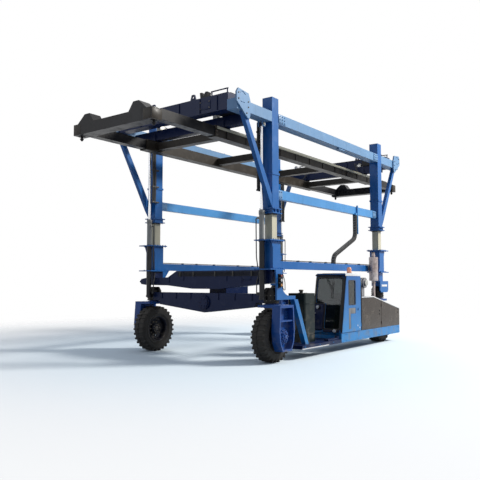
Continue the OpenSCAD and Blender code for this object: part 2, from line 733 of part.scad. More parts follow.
function leg_outline(inset) = [[-leg_top_x + inset, fork_top_z - plate_h + eps],
    [leg_top_x - inset, fork_top_z - plate_h + eps], [leg_top_x + 20 - inset, tyre_r + 410],
    [leg_top_x + 40 - inset, tyre_r + 120], [leg_top_x + 10 - inset, tyre_r - 110],
    [leg_top_x - 90 - inset * 0.6, leg_z0 + inset], [-leg_top_x + 90 + inset * 0.6, leg_z0 + inset],
    [-leg_top_x - 10 + inset, tyre_r - 110], [-leg_top_x - 40 + inset, tyre_r + 120],
    [-leg_top_x - 20 + inset, tyre_r + 410]];

module fork_body() {
    pin_z1 = bore_z1 - 10;
    // Top plate, thrust collar and king-pin
    difference() {
        span([-leg_top_x, -fork_plate_y, fork_top_z - plate_h], [leg_top_x, leg_y1, fork_top_z]);
        for (s = [-1, 1])
            translate([s * (leg_top_x + 60), -200, fork_top_z - plate_h - eps]) rotate(s * 25)
                translate([-60, -200, 0]) cube([120, 320, plate_h + 2 * eps]);
    }
    translate([0, 0, fork_top_z - eps]) cylinder(d = head_d - 80,
        h = head_z0 - fork_top_z - seat_gap + eps);
    translate([0, 0, fork_top_z - eps]) cylinder(d = kingpin_d, h = pin_z1 - fork_top_z);
    // Leg: a web with a raised edge, a cross rib and the hub housing
    side_plate(leg_outline(0), leg_y0, leg_y0 + web_t);
    difference() {
        side_plate(leg_outline(0), leg_y0 + web_t - eps, leg_y1);
        side_plate(leg_outline(rim_t), leg_y0 + web_t, leg_y1 + eps);
    }
    span([-leg_top_x, leg_y0 + web_t - eps, tyre_r + 340], [leg_top_x, leg_y1 - 20, tyre_r + 375]);
    translate([0, leg_y0 + web_t - eps, tyre_r]) rotate([-90, 0, 0]) {
        cylinder(d = 330, h = 70);
        cylinder(d = 230, h = 100);
    }
    // Stub axle and its shoulder
    translate([0, leg_y0 + eps, tyre_r]) rotate([90, 0, 0]) {
        cylinder(d = stub_d + 60, h = leg_y0 - hub_y1 - seat_gap + eps);
        cylinder(d = stub_d, h = leg_y0 - hub_y0 - 25);
    }
}

hub_y1 = tyre_w / 2 + 5;
hub_y0 = -90;
hub_d = 250;
rim_r = rim_d / 2;
rim_w = tyre_w - 70;

module rim_body() {
    translate([0, 0, tyre_r]) rotate([-90, 0, 0]) difference() {
        rotate_extrude() polygon([
            [stub_d / 2 + fit, hub_y0 + 12], [stub_d / 2 + fit, hub_y1], [hub_d / 2, hub_y1],
            [hub_d / 2, 60], [rim_r - 50, 10], [rim_r - 22, 20], [rim_r - 22, rim_w / 2 - 20],
            [rim_r - 8, rim_w / 2], [rim_r, rim_w / 2], [rim_r, -rim_w / 2], [rim_r - 8, -rim_w / 2],
            [rim_r - 22, -rim_w / 2 + 20], [rim_r - 22, -20], [rim_r - 50, -20], [hub_d / 2, 20],
            [hub_d / 2, hub_y0 + 40], [hub_d / 2 - 30, hub_y0]  , [0, hub_y0], [0, hub_y0 + 12]]);
        for (i = [0 : 7]) rotate(i * 45 + 22.5)
            translate([hub_d / 2 + 75, 0, -60]) cylinder(d = 46, h = 160);
    }
}

// Radius of the hole that lies on the rim, at the corners of its flat sides
bead_sides = 40;
bead_r = (rim_r + seat_gap) / cos(180 / bead_sides);
function ring(r, n) = [for (i = [0 : n - 1]) r * [cos(i * 360 / n), sin(i * 360 / n)]];

// Outline of one shoulder: a lug from each step on, with slanted flanks.
function lug_ring(turn) = let (step = 360 / lug_count, root_r = tyre_r - lug_h)
    [for (i = [0 : lug_count - 1], p = [[0, tyre_r], [0.5, tyre_r], [0.6, root_r], [0.9, root_r]])
        let (a = (i + turn + p[0]) * step) p[1] * [cos(a), sin(a)]];

// Two rows of lugs, staggered, between narrower walls
module tyre_body() {
    wall_r = tyre_r - lug_h - 48;
    shoulder = tyre_w / 2 - 26;
    translate([0, 0, tyre_r]) rotate([-90, 0, 0]) difference() {
        union() {
            translate([0, 0, -tyre_w / 2]) linear_extrude(tyre_w) polygon(ring(wall_r, bead_sides));
            linear_extrude(shoulder) polygon(lug_ring(0));
            translate([0, 0, -shoulder]) linear_extrude(shoulder + eps) polygon(lug_ring(0.5));
        }
        translate([0, 0, -tyre_w / 2 - eps]) linear_extrude(tyre_w + 2 * eps)
            polygon(ring(bead_r, bead_sides));
    }
}

module front_near() at_corner(CORNERS[0]) children();
module front_far() at_corner(CORNERS[1]) children();
module rear_near() at_corner(CORNERS[2]) mirror([0, 1, 0]) children();
module rear_far() at_corner(CORNERS[3]) mirror([0, 1, 0]) children();

module fork_front_near() color(blue) front_near() fork_body();
module fork_front_far() color(blue) front_far() fork_body();
module fork_rear_near() color(blue) rear_near() fork_body();
module fork_rear_far() color(blue) rear_far() fork_body();
module rim_front_near() color(blue) front_near() rim_body();
module rim_front_far() color(blue) front_far() rim_body();
module rim_rear_near() color(blue) rear_near() rim_body();
module rim_rear_far() color(blue) rear_far() rim_body();
module tyre_front_near() color(black) front_near() tyre_body();
module tyre_front_far() color(black) front_far() tyre_body();
module tyre_rear_near() color(black) rear_near() tyre_body();
module tyre_rear_far() color(black) rear_far() tyre_body();

// Upper frame
end_x = axle_x + overhang;
top_z1 = top_z + top_h;
top_w = 270;
rod_z0 = 2050;
rod_z1 = top_z - 60;
cross_x0 = end_x - 350;
cross_x1 = end_x - 90;
cross_z0 = top_z + 45;
cross_z1 = cross_z0 + cross_h;
low_x0 = end_x - 870;
low_x1 = end_x - 670;
low_z0 = top_z - 150;
low_z1 = top_z + 90;
inner_y = mast_y - top_w / 2;

module collar(z0, h, w) {
    difference() {
        post(w, z0, z0 + h);
        post(inner_w + 2 * seat_gap, z0 - eps, z0 + h + eps);
    }
}

module upper_masts() color(pale_blue) {
    for (c = CORNERS) at_corner(c) {
        tube(sleeve_w, sleeve_wall, sleeve_z0, sleeve_z1 - 10);
        post(sleeve_w, sleeve_z1 - 12, sleeve_z1);
        collar(sleeve_z0, 110, sleeve_w + 30);
        collar(sleeve_z0, 22, sleeve_w + 110);
        collar(sleeve_z0 + 98, 22, sleeve_w + 110);
        difference() {
            post(sleeve_w + 34, sleeve_z0 + 900, sleeve_z0 + 950);
            post(sleeve_w - 2 * sleeve_wall, sleeve_z0 + 899, sleeve_z0 + 951);
        }
        // Ears for the clamp bolts of the lower collar
        for (s = [-1, 1])
            span([s * 70 - 12, sleeve_w / 2, sleeve_z0 + 20],
                [s * 70 + 12, sleeve_w / 2 + 50, sleeve_z0 + 100]);
    }
}

module top_beams() color(pale_blue) {
    both_sides() {
        span([-axle_x + sleeve_w / 2, inner_y, top_z], [axle_x - sleeve_w / 2, inner_y + top_w, top_z1]);
        both_ends() span([axle_x + sleeve_w / 2, inner_y, top_z], [end_x - 60, inner_y + top_w, top_z1]);
        // Clevises of the lift rods
        both_ends() for (y = [-75, 45])
            span([axle_x + barrel_x - 60, mast_y + barrel_y + y, rod_z1 - 60],
                [axle_x + barrel_x + 60, mast_y + barrel_y + y + 30, top_z + eps]);
    }
}

module end_plates() color(pale_blue) {
    z0 = top_z - 150;
    z1 = top_z1 + 200;
    outline = [[end_x - 500, top_z], [end_x - 470, z0], [end_x - 400, z0], [end_x, top_z + 150],
        [end_x, z1 - 90], [end_x - 60, z1], [end_x - 430, z1 - 40], [end_x - 500, top_z1]];
    both_sides() both_ends() difference() {
        side_plate(outline, mast_y + top_w / 2, mast_y + top_w / 2 + 40);
        // Curved slot
        translate([end_x - 210, mast_y + top_w / 2 + 41, top_z1 + 30]) rotate([90, 0, 0])
            linear_extrude(12) difference() {
                circle(r = 130);
                circle(r = 108);
                translate([-200, -100]) square([400, 170]);
            }
    }
}

module diagonal_struts() color(pale_blue) {
    x0 = axle_x + sleeve_w / 2;
    both_sides() both_ends()
        side_plate([[x0, sleeve_z0 + 140], [x0, sleeve_z0 + 420], [end_x - 400, top_z],
            [end_x - 270, top_z],
            [x0 + 130, sleeve_z0 + 330]], mast_y + 30, mast_y + 130);
}

bar_x = -1430;
chain_top_z = brace_z - 20;

module mid_braces() color(pale_blue) {
    x1 = axle_x - sleeve_w / 2;
    both_sides() span([-x1, mast_y - 60, brace_z], [x1, mast_y + 60, brace_z + brace_h]);
    // Bar and foot that hold the upper end of the drag chain
    color(navy) {
        span([bar_x - 20, mast_y + 60, brace_z - 570],
            [bar_x + 20, mast_y + 105, brace_z + brace_h + 40]);
        span([bar_x + 20, chain_y0, chain_top_z], [bar_x + 120, mast_y + 61, brace_z]);
        span([bar_x + 10, mast_y + 55, chain_top_z], [bar_x + 120, mast_y + 95, chain_top_z + 60]);
    }
}

// Energy chain from the tie beam to the bar, with a bend at each end
chain_w = 90;
chain_y0 = tie_y1 - chain_w;
chain_r = 250;
chain_low = [-20, tie_z0 + tie_h];
chain_high = [bar_x + 70, chain_top_z];

module drag_chain() color(black) {
    c1 = [chain_low[0] - chain_r, chain_low[1] + 40];
    c2 = [chain_high[0] + chain_r, chain_high[1] - 500];
    d = c2 - c1;
    a = atan2(d[1], d[0]) + asin(2 * chain_r / norm(d)) - 90;
    h = chain_w / 2;
    outer = concat([[chain_low[0] + h, chain_low[1]]], arc(c1[0], c1[1], chain_r + h, 0, a, 6),
        arc(c2[0], c2[1], chain_r - h, 180 + a, 180, 6), [[chain_high[0] + h, chain_high[1]]]);
    inner = concat([[chain_high[0] - h, chain_high[1]]], arc(c2[0], c2[1], chain_r + h, 180, 180 + a, 6),
        arc(c1[0], c1[1], chain_r - h, a, 0, 6), [[chain_low[0] - h, chain_low[1]]]);
    side_plate(concat(outer, inner), chain_y0, tie_y1);
}

lug_y = 640;
lug_top = 170;

module transverse_beams() color(blue) {
    both_ends() {
        span([cross_x0, -inner_y, cross_z0], [cross_x1, inner_y, cross_z1]);
        for (s = [-1, 1]) difference() {
            x = (cross_x0 + cross_x1) / 2 - 20;
            cross_plate([[s * lug_y - 95, cross_z1 - eps], [s * lug_y + 95, cross_z1 - eps],
                [s * lug_y + 40, cross_z1 + lug_top], [s * lug_y - 40, cross_z1 + lug_top]], x, x + 40);
            translate([x - eps, s * lug_y, cross_z1 + 110]) rotate([0, 90, 0])
                cylinder(r = eye_r, h = 40 + 2 * eps);
        }
        span([low_x0, -inner_y, low_z0], [low_x1, inner_y, low_z1]);
    }
}

box_y1 = inner_y - 150;
box_y0 = box_y1 - 460;
box_h = 420;
vee_y = inner_y - 750;

// Hydraulic units on the lower transverse boxes, open towards the middle.
module machinery_boxes() color(black) {
    both_ends() difference() {
        span([low_x0 - 60, box_y0, low_z1], [cross_x0 - 30, box_y1, low_z1 + box_h]);
        span([low_x0 - 30, box_y0 + 60, low_z1 + 150],
            [cross_x0 - 30 + eps, box_y1 - 60, low_z1 + box_h - 90]);
    }
    both_ends() for (s = [-1, 1])
        cross_plate([for (p = [[-90, 0], [90, 0], [110, 150], [50, 150], [0, 60], [-50, 150],
            [-110, 150]])
            [s * vee_y + p[0], cross_z1 + p[1]]], cross_x0 + 60, cross_x0 + 200);
}

module lift_rods() color(chrome) {
    for (c = CORNERS) at_corner(c) translate([barrel_x, barrel_y, 0]) {
        translate([0, 0, rod_z0]) cylinder(d = rod_d, h = rod_z1 - 50 - rod_z0);
        translate([-50, -44.7, rod_z1 - 60]) cube([100, 89.4, 110 - seat_gap]);
    }
}

module handrails() color(navy) {
    z0 = cross_z1;
    z1 = cross_z1 + 110;
    both_ends() both_sides() translate([cross_x1 - 60, 0, 0]) {
        for (y = [inner_y - 500, inner_y - 60]) translate([0, y, z0]) cylinder(d = 30, h = z1 - z0);
        translate([0, inner_y - 520, z1]) rotate([-90, 0, 0]) cylinder(d = 30, h = 480);
    }
}

// Spreader
end_w = lock_gauge / 2 + 90;
girder_w = 240;
girder_y = end_w - girder_w / 2;
girder_h = 260;
girder_wall = 14;
girder_z0 = spreader_z + 40;
girder_x = low_x1 + 350;
arm_w = 200;
arm_h = 220;
arm_x0 = girder_x - 1550;
arm_z0 = girder_z0 + (girder_h - arm_h) / 2;
end_x1 = spreader_len / 2;
end_x0 = end_x1 - 300;
lock_x = end_x1 - 158;

module spreader_frame() color(cream) {
    both_sides() difference() {
        span([-girder_x, girder_y - girder_w / 2, girder_z0],
            [girder_x, girder_y + girder_w / 2, girder_z0 + girder_h]);
        span([-girder_x + 80, girder_y - girder_w / 2 + girder_wall, girder_z0 + girder_wall],
            [girder_x - 80, girder_y + girder_w / 2 - girder_wall, girder_z0 + girder_h - girder_wall]);
        span([-girder_x - eps, girder_y - arm_w / 2 - seat_gap, arm_z0 - seat_gap],
            [girder_x + eps, girder_y + arm_w / 2 + seat_gap, arm_z0 + arm_h + seat_gap]);
    }
    for (s = [-1, 1], r = [girder_x - 450, girder_x / 3.2]) let (x = s * r)
        span([x - 100, -girder_y + girder_w / 2 - eps, girder_z0 + 40],
            [x + 100, girder_y - girder_w / 2 + eps, girder_z0 + girder_h - 40]);
}

module spreader_hangers() color(navy) {
    z0 = girder_z0 + girder_h;
    both_ends() both_sides() for (x = [low_x0 - 25, low_x1])
        span([x, girder_y - 90, z0], [x + 25, girder_y + 90, low_z0 + 160]);
}

module spreader_arm() {
    both_sides() span([arm_x0, girder_y - arm_w / 2, arm_z0],
        [end_x0 + eps, girder_y + arm_w / 2, arm_z0 + arm_h]);
    z1 = spreader_z + end_h;
    hump = [[end_w, z1], [girder_y - 20, z1], [girder_y - 250, z1 + 190], [girder_y - 410, z1 + 190],
        [girder_y - 550, z1]];
    cross_plate(concat([[-end_w, spreader_z + 10], [end_w, spreader_z + 10]], hump,
        [for (i = [len(hump) - 1 : -1 : 0]) [-hump[i][0], hump[i][1]]]), end_x0, end_x1);
    for (s = [-1, 1]) translate([lock_x, s * lock_gauge / 2, 0]) {
        translate([0, 0, spreader_z]) cylinder(d = 150, h = 11);
        translate([0, 0, spreader_z - 40]) cylinder(d = 56, h = 41);
        translate([0, 0, spreader_z - 90]) cylinder(d1 = 36, d2 = 96, h = 51);
    }
}

module spreader_arm_front() color(black) spreader_arm();
module spreader_arm_rear() color(black) mirror([1, 0, 0]) spreader_arm();

front_crossbeam();
axle_beam();
pivot_housing();
steering_heads();
mast_feet();
lower_sleeves();
inner_masts();
lift_barrels();
tie_beams();
side_base();
front_platform();
front_strut();
hydraulic_tank();
cab_shell();
cab_windows();
seat();
steering_console();
engine_bay();
engine_block();
exhaust();
air_filter();
beacon();
lamp_stack();
cab_door();
cab_door_glass();
engine_door_front();
engine_door_rear();
fork_front_near();
fork_front_far();
fork_rear_near();
fork_rear_far();
rim_front_near();
rim_front_far();
rim_rear_near();
rim_rear_far();
tyre_front_near();
tyre_front_far();
tyre_rear_near();
tyre_rear_far();
upper_masts();
top_beams();
end_plates();
diagonal_struts();
mid_braces();
transverse_beams();
machinery_boxes();
lift_rods();
handrails();
spreader_frame();
spreader_hangers();
drag_chain();
spreader_arm_front();
spreader_arm_rear();
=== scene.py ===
"""Straddle carrier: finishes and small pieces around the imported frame."""
import itertools
import json
import math

import bmesh
import bpy
from mathutils import Matrix, Vector


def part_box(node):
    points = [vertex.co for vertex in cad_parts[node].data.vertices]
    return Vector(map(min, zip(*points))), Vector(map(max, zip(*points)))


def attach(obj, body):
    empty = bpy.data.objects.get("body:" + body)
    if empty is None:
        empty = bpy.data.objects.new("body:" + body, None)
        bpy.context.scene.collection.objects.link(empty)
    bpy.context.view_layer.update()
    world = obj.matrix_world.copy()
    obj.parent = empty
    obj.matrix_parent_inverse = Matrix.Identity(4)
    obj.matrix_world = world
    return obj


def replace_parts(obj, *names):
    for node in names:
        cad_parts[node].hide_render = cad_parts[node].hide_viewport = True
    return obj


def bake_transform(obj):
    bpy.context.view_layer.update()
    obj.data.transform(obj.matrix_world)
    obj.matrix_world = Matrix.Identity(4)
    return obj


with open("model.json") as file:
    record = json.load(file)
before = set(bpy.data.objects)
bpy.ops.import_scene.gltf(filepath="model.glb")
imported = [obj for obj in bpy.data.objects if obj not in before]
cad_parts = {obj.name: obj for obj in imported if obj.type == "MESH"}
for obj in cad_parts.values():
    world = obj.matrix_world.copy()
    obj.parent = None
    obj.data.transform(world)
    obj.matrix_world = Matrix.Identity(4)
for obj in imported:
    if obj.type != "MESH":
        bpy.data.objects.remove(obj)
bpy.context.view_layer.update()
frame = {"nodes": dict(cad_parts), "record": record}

# Places, directions and counts that the pieces share, in metres
WHEEL_LOW, WHEEL_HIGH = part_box("tyre_front_near")
AXLE_X = (WHEEL_LOW.x + WHEEL_HIGH.x) / 2
MAST_Y = (WHEEL_LOW.y + WHEEL_HIGH.y) / 2
TYRE_R = WHEEL_HIGH.z / 2
LUGS = 28
SIDES = (-1, 1)
CORNERS = {"front_near": (1, 1), "front_far": (1, -1), "rear_near": (-1, 1), "rear_far": (-1, -1)}
MASTS = [(ends, side, ends * AXLE_X, side * MAST_Y) for ends, side in CORNERS.values()]
CAB_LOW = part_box("cab_shell")[0]
CAB_WALLS_X = (-0.890, 0.280)
RAKE = math.radians(10.5)
SKIRT_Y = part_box("side_base")[1].y
CHAIN_BEND = 0.250
BOLT_PITCH = 0.095
LOCK_X, LOCK_Y, LOCK_Z = 5.992, 1.1295, 5.300
DOOR_SKIN_Y = 2.314
AHEAD, ACROSS, UP = (1, 0, 0), (0, 1, 0), (0, 0, 1)


def both(*places):
    """The same places on either side of the middle."""
    return [s * place for s in SIDES for place in places]


def put(name, data):
    """Places data in the scene as an object."""
    made = bpy.data.objects.new(name, data)
    bpy.context.scene.collection.objects.link(made)
    return made


# Camera and lamps

def camera():
    """The photo's view: a person's eye level, ahead of the cab side."""
    data = bpy.data.cameras.new("photo_view")
    data.lens = 44.3
    data.sensor_width = 36.0
    eye = put("photo_view", data)
    yaw, pitch = math.radians(-143.01), math.radians(3.95)
    look = Vector((math.cos(pitch) * math.cos(yaw), math.cos(pitch) * math.sin(yaw), math.sin(pitch)))
    eye.location = (14.26, 9.52, 1.85)
    eye.rotation_euler = look.to_track_quat("-Z", "Y").to_euler()
    bpy.context.scene.camera = eye


def lamp(name, place, aim, width, watts, tint):
    data = bpy.data.lights.new(name, "AREA")
    data.shape = "DISK"
    data.size = width
    data.energy = watts
    data.color = tint
    light = put(name, data)
    light.location = place
    light.rotation_euler = (Vector(aim) - Vector(place)).to_track_quat("-Z", "Y").to_euler()


# Materials

class Value:
    """A socket of a node tree, with the arithmetic that masks need."""

    def __init__(self, finish, socket):
        self.finish = finish
        self.socket = socket

    def math(self, operation, *others):
        return self.finish.node("Math", {"operation": operation}, self, *others)

    def __add__(self, other):
        return self.math("ADD", other)

    def __mul__(self, other):
        return self.math("MULTIPLY", other)

    def __sub__(self, other):
        return self.math("SUBTRACT", other)

    def __rsub__(self, other):
        return self.finish.node("Math", {"operation": "SUBTRACT"}, other, self)

    __radd__ = __add__
    __rmul__ = __mul__

    def part(self, axis):
        return self.finish.node("SeparateXYZ", {}, self, output=axis)

    def ramp(self, low, high, bottom=0.0, top=1.0):
        """Rises from bottom to top as the value goes from low to high."""
        return self.finish.node("MapRange", {"interpolation_type": "SMOOTHSTEP"},
                                self, low, high, bottom, top)


class Nodes:
    """A node tree that is built node by node."""

    def __init__(self, tree):
        self.tree = tree

    def node(self, kind, settings=None, *values, output=0, **named):
        made = self.tree.nodes.new("ShaderNode" + kind)
        for key, setting in (settings or {}).items():
            if key == "stops":
                ramp = made.color_ramp
                while len(ramp.elements) < len(setting):
                    ramp.elements.new(0.5)
                for element, (position, colour) in zip(ramp.elements, setting):
                    element.position = position
                    element.color = (*colour, 1.0)
            else:
                setattr(made, key, setting)
        for key, value in list(enumerate(values)) + list(named.items()):
            socket = made.inputs[key.replace("_", " ") if isinstance(key, str) else key]
            self.feed(socket, value)
        return Value(self, made.outputs[output])

    def feed(self, socket, value):
        if isinstance(value, Value):
            self.tree.links.new(value.socket, socket)
        elif isinstance(value, tuple) and len(value) == 3 and socket.type == "RGBA":
            socket.default_value = (*value, 1.0)
        else:
            socket.default_value = value


class Finish(Nodes):
    """A material on the places of its object."""

    def __init__(self, name):
        self.material = bpy.data.materials.new(name)
        self.material.use_nodes = True
        super().__init__(self.material.node_tree)
        self.shader = self.tree.nodes["Principled BSDF"]
        self.place = self.node("TexCoord", output="Object")

    def noise(self, scale, detail=4.0, rough=0.55, stretch=None):
        place = self.place
        if stretch:
            place = self.node("Mapping", {}, place, Scale=stretch)
        return self.node("TexNoise", Vector=place, Scale=scale, Detail=detail, Roughness=rough)

    def mix(self, mask, under, over):
        made = self.tree.nodes.new("ShaderNodeMix")
        made.data_type = "RGBA"
        made.clamp_factor = True
        for socket, value in ((made.inputs[0], mask), (made.inputs[6], under), (made.inputs[7], over)):
            self.feed(socket, value)
        return Value(self, made.outputs[2])

    def height(self):
        return self.place.part("Z")

    def facing(self):
        return self.node("NewGeometry", output="Normal")

    def eased(self, radius):
        """The surface's direction with its edges rounded."""
        return self.node("Bevel", {"samples": 4}, Radius=radius)

    def bump(self, pattern, depth, strength, over=None):
        named = {"Height": pattern, "Distance": depth, "Strength": strength}
        if over is not None:
            named["Normal"] = over
        return self.node("Bump", {}, **named)

    def edge(self, radius):
        """One along sharp edges and nought on open faces."""
        return 1.0 - self.node("VectorMath", {"operation": "DOT_PRODUCT"},
                               self.eased(radius), self.facing(), output="Value")

    def waves(self, direction, scale, place=None, **named):
        return self.node("TexWave", {"bands_direction": direction}, Vector=place or self.place,
                         Scale=scale, **named)

    def done(self, **sockets):
        for key, value in sockets.items():
            self.feed(self.shader.inputs[key.replace("_", " ")], value)
        return self.material


# Finishes

RUST = (0.13, 0.045, 0.015)
DUST = (0.23, 0.20, 0.16)
SHADOW = (0.008, 0.009, 0.013)


def shade(tone, factor, lift=0.0):
    """A tone made darker or paler."""
    return tuple(min(1.0, c * factor + lift) for c in tone)


def paint(name, tone, rough=0.32, dirt=1.0, wear=1.0, fade=0.25, shine=0.25, tread=False, low_tone=None,
          painted_shade_below=None, painted_cab_shade=None):
    """Enamel on steel: faded patches, dust low down, rain streaks, chipped edges and orange peel.

    It can have a paler tone low down, a tread pattern on top, painted shade below a given height, and painted
    shade inside the cab."""
    f = Finish(name)
    worn = f.edge(0.006).ramp(0.02, 0.22)
    slow = f.noise(0.9, 3.0).ramp(0.35, 0.68)
    patches = f.noise(5.0, 8.0, 0.62).ramp(0.47, 0.72)
    fine = f.noise(42.0, 3.0, 0.6)
    streaks = f.noise(2.2, 5.0, 0.6, stretch=(6.0, 6.0, 0.45)).ramp(0.52, 0.76)
    low = f.height().ramp(0.25, 1.5, 1.0, 0.12)
    coat = f.mix(slow * 0.55, tone, shade(tone, 0.80))
    coat = f.mix(patches * fade, coat, shade(tone, 1.25, 0.010))
    if low_tone:
        coat = f.mix(f.height().ramp(0.25, 1.9, 1.0, 0.0), coat, low_tone)
    # Painted shade: below the given height the coat turns to the near-black SHADOW colour.
    if painted_shade_below:
        coat = f.mix(f.height().ramp(painted_shade_below, painted_shade_below + 0.03, 1.0, 0.0), coat, SHADOW)
    coat = f.mix(streaks * (0.30 * dirt), coat, shade(tone, 0.55, 0.006))
    coat = f.mix(patches * low * (0.55 * dirt), coat, DUST)
    chips = worn * f.noise(30.0, 5.0, 0.7).ramp(0.50, 0.60)
    coat = f.mix(chips * (0.75 * wear), coat, RUST)
    spots = f.noise(17.0, 6.0, 0.7).ramp(0.70, 0.76)
    coat = f.mix(spots * (0.6 * wear), coat, RUST)
    gloss = patches * (0.22 * dirt) + streaks * 0.10 + chips * 0.35 + rough + fine * 0.06 - 0.03
    surface = f.bump(fine + chips * -3.0 + spots * 1.2, 0.0006, 0.35, f.eased(0.004))
    if tread:
        place = f.node("Mapping", {}, f.place, Rotation=(0.0, 0.0, math.radians(45)),
                       Scale=(1.0, 1.0, 0.02))
        bars = [f.waves(direction, 14.0, place, Distortion=0.0) for direction in "XY"]
        up = f.facing().part("Z").ramp(0.90, 0.97)
        surface = f.bump((bars[0].ramp(0.72, 0.85) + bars[1].ramp(0.72, 0.85)) * up, 0.004, 0.8, surface)
    # Painted shade inside the cab: the shell's inner walls behind the windscreen and below the roof turn
    # near-black.
    if painted_cab_shade:
        low_y, high_y, ahead_x, top_z = painted_cab_shade
        wide, height = f.place.part("Y"), f.height()
        ahead = f.place.part("X") + height * math.tan(RAKE)
        inside = wide.ramp(low_y, low_y + 0.004)
        for value, limit in ((wide, high_y), (ahead, ahead_x), (height, top_z)):
            inside = inside * value.ramp(limit - 0.004, limit, 1.0, 0.0)
        coat = f.mix(inside, coat, (0.010, 0.012, 0.016))
    return f.done(Base_Color=coat, Roughness=gloss, Normal=surface, Specular_IOR_Level=shine,
                  Coat_Weight=0.05, Coat_Roughness=0.2)


def plated(name):
    """Chromed rod: bright, with fine rings of wear along it and oil film."""
    f = Finish(name)
    rings = f.noise(3.0, 4.0, 0.6, stretch=(3.0, 3.0, 90.0))
    film = f.noise(6.0, 5.0).ramp(0.45, 0.75)
    tone = f.mix(film * 0.35, (0.78, 0.79, 0.81), (0.50, 0.47, 0.42))
    return f.done(Base_Color=tone, Metallic=1.0, Roughness=rings * 0.12 + film * 0.14 + 0.10,
                  Normal=f.bump(rings, 0.0002, 0.3))


def bare_metal(name, tone, rough, heat=0.0):
    """Plain steel or alloy, a little oxidised, with grime in patches."""
    f = Finish(name)
    grime = f.noise(7.0, 7.0, 0.65).ramp(0.42, 0.72)
    grain = f.noise(120.0, 3.0, 0.6)
    coat = f.mix(grime * 0.55, tone, shade(tone, 0.45, 0.01))
    if heat:
        coat = f.mix(f.noise(2.4, 4.0).ramp(0.40, 0.62) * heat, coat, (0.20, 0.10, 0.06))
    return f.done(Base_Color=coat, Metallic=1.0 - grime * 0.45, Roughness=grime * 0.28 + grain * 0.08 + rough,
                  Normal=f.bump(grain + grime * 0.6, 0.0005, 0.4, f.eased(0.003)))


def rubber(name, tone, dusty, rough=0.74, grain=90.0):
    """Rubber with a bloom of dust that gathers low on it."""
    f = Finish(name)
    film = f.noise(4.5, 8.0, 0.64).ramp(0.36, 0.74)
    small = f.noise(grain, 4.0, 0.6)
    low = f.height().ramp(0.05, 1.1, 1.0, 0.45)
    coat = f.mix(film * low * dusty, tone, (0.085, 0.074, 0.062))
    coat = f.mix(small.ramp(0.55, 0.75) * 0.25, coat, shade(tone, 2.2))
    return f.done(Base_Color=coat, Roughness=film * 0.14 + small * 0.10 + rough - 0.05,
                  Normal=f.bump(small + film * 0.5, 0.0009, 0.5, f.eased(0.004)))


def plastic(name, tone, rough=0.5, grain=160.0):
    """Moulded plastic with a fine leather grain and handling marks."""
    f = Finish(name)
    cells = f.node("TexVoronoi", {"feature": "F1"}, Vector=f.place, Scale=grain)
    marks = f.noise(9.0, 6.0, 0.6).ramp(0.45, 0.75)
    coat = f.mix(marks * 0.35, tone, shade(tone, 1.5, 0.012))
    return f.done(Base_Color=coat, Roughness=marks * 0.18 + cells * 0.08 + rough,
                  Normal=f.bump(cells + marks * 0.3, 0.0004, 0.35))


def glass(name, tone):
    """Toughened glass with a film of dust at its edges."""
    f = Finish(name)
    film = f.noise(3.0, 7.0, 0.6).ramp(0.45, 0.85)
    coat = f.mix(film * 0.2, tone, (0.30, 0.30, 0.28))
    return f.done(Base_Color=coat, Roughness=film * 0.16 + 0.03, Transmission_Weight=0.92, IOR=1.45,
                  Specular_IOR_Level=0.2)


def lens(name, tone, glow=0.0):
    """Moulded lamp lens with fluting inside."""
    f = Finish(name)
    flutes = f.waves("DIAGONAL", 60.0)
    depth = f.mix(flutes * 0.35, tone, shade(tone, 0.5))
    if glow:
        f.feed(f.shader.inputs["Emission Color"], tone)
        f.feed(f.shader.inputs["Emission Strength"], glow)
    return f.done(Base_Color=depth, Roughness=flutes * 0.08 + 0.10, Transmission_Weight=0.25, IOR=1.49,
                  Coat_Weight=0.6, Coat_Roughness=0.05, Normal=f.bump(flutes, 0.001, 0.4))


def seat_cloth(name):
    """Woven seat cover, black with grey flecks."""
    f = Finish(name)
    warp, weft, rise = (f.waves(direction, 150.0, Distortion=0.6) for direction in "XYZ")
    threads = warp * 0.4 + weft * 0.3 + rise * 0.4
    worn = f.noise(6.0, 6.0).ramp(0.42, 0.72)
    coat = f.mix(threads.ramp(0.35, 0.85) * 0.5, (0.018, 0.018, 0.020), (0.075, 0.075, 0.080))
    coat = f.mix(worn * 0.35, coat, (0.10, 0.095, 0.088))
    return f.done(Base_Color=coat, Roughness=worn * 0.08 + 0.84, Sheen_Weight=0.35, Sheen_Roughness=0.4,
                  Normal=f.bump(threads, 0.0012, 0.6))


